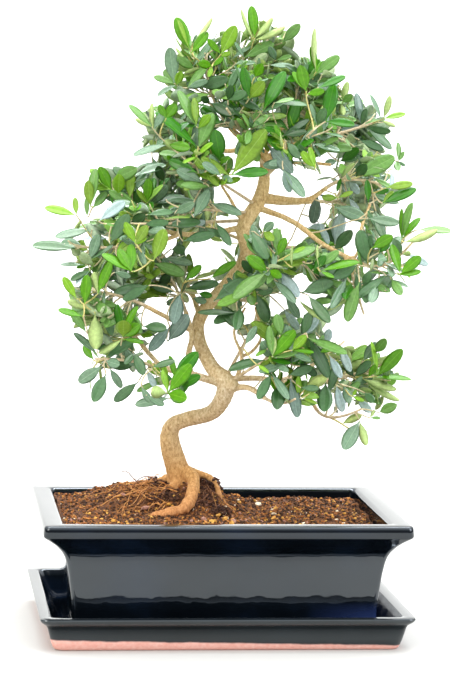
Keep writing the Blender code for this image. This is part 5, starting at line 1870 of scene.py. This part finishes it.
# Lights: place and aim, width and height, in the studio's metres, power and colour.
LIGHTS = (
    ("top_light", (0.1, 0.1, 1.5), (0.0, 0.0, 0.1), (1.6, 1.6), 30.0, "#FFFFFF"),
    ("left_light", (-1.3, -1.0, 0.9), (0.0, 0.0, 0.2), (0.9, 1.2), 19.0, "#FFF8EE"),
    ("right_light", (1.4, -0.8, 0.8), (0.0, 0.0, 0.2), (0.9, 1.2), 20.0, "#F8F8FF"),
    ("sweep_light", (0.0, 0.7, 1.7), (0.0, 2.2, 0.6), (2.4, 0.5), 100.0, "#FAFCFF"),
)

# The world is dim near the horizon and bright above.
WORLD_RISE = (("From Min", 0.08), ("From Max", 0.55), ("To Min", 0.16), ("To Max", 1.7))


def make_stage():
    """A white sweep: floor in front and below, curving up behind."""
    deselect()
    bpy.ops.mesh.primitive_grid_add(x_subdivisions=2, y_subdivisions=48, size=2.0, location=(0, 0, 0))
    sweep = newest("sweep")
    for vertex in sweep.data.vertices:
        run = (vertex.co.y + 1.0) / 2.0
        if run <= SWEEP_SHARE:
            y, z = SWEEP_FRONT + SWEEP_FLAT * run / SWEEP_SHARE, 0.0
        else:
            angle = (run - SWEEP_SHARE) / (1.0 - SWEEP_SHARE) * math.pi / 2
            y = SWEEP_FRONT + SWEEP_FLAT + SWEEP_RADIUS * math.sin(angle)
            z = SWEEP_RADIUS * (1.0 - math.cos(angle))
        vertex.co = Vector((vertex.co.x * SWEEP_HALF, y, z)) * STUDIO - Vector((0, 0, SWEEP_DROP))
    paper = new_material("white_paper", Roughness=0.9)
    paper.node_tree.nodes["Principled BSDF"].inputs["Base Color"].default_value = linear("#B8B7B3")
    sweep.data.materials.append(paper)
    sweep.data.shade_smooth()


def soft_box(name, place, aim, size, power, colour):
    """An area light that looks from its place to its aim."""
    deselect()
    bpy.ops.object.light_add(type="AREA", location=Vector(place) * STUDIO)
    lamp = newest(name)
    lamp.data.shape = "RECTANGLE"
    lamp.data.size, lamp.data.size_y = size[0] * STUDIO, size[1] * STUDIO
    lamp.data.energy = power * STUDIO ** 2
    lamp.data.color = linear(colour)[:3]
    lamp.rotation_euler = (Vector(aim) - Vector(place)).to_track_quat("-Z", "Y").to_euler()


def make_light():
    for row in LIGHTS:
        soft_box(*row)
    world = bpy.data.worlds.new("studio")
    bpy.context.scene.world = world
    world.use_nodes = True
    sky = world.node_tree.nodes["Background"]
    sky.inputs["Color"].default_value = linear("#F6FAFF")
    place = add_node(world, "ShaderNodeTexCoord")
    parts = add_node(world, "ShaderNodeSeparateXYZ", links=[(place, "Generated", "Vector")])
    rise = add_node(world, "ShaderNodeMapRange", links=[(parts, "Z", "Value")], inputs=WORLD_RISE)
    world.node_tree.links.new(rise.outputs["Result"], sky.inputs["Strength"])
    bpy.context.scene.view_settings.view_transform = "Standard"


def make_camera():
    deselect()
    bpy.ops.object.camera_add(location=mm(*CAMERA_PLACE), rotation=[math.radians(a) for a in CAMERA_TURN])
    camera = newest("camera")
    camera.data.sensor_width = SENSOR
    camera.data.lens = LENS
    camera.data.clip_start = 0.01
    bpy.context.scene.camera = camera


make_camera()
make_light()
make_stage()
make_pot()
make_tray()
make_soil_bed()
make_crumbs()
wood_routes = limb_routes()
make_limbs(wood_routes)
make_fine_roots()
crown = Crown(wood_routes)
grown_sprays, seen_sprays, seen_leaves = grow_sprays(crown)
grown_leaves, grown_sprays = grow_leaves(grown_sprays, crown)
make_foliage(grown_sprays + seen_sprays, seen_leaves + grown_leaves)
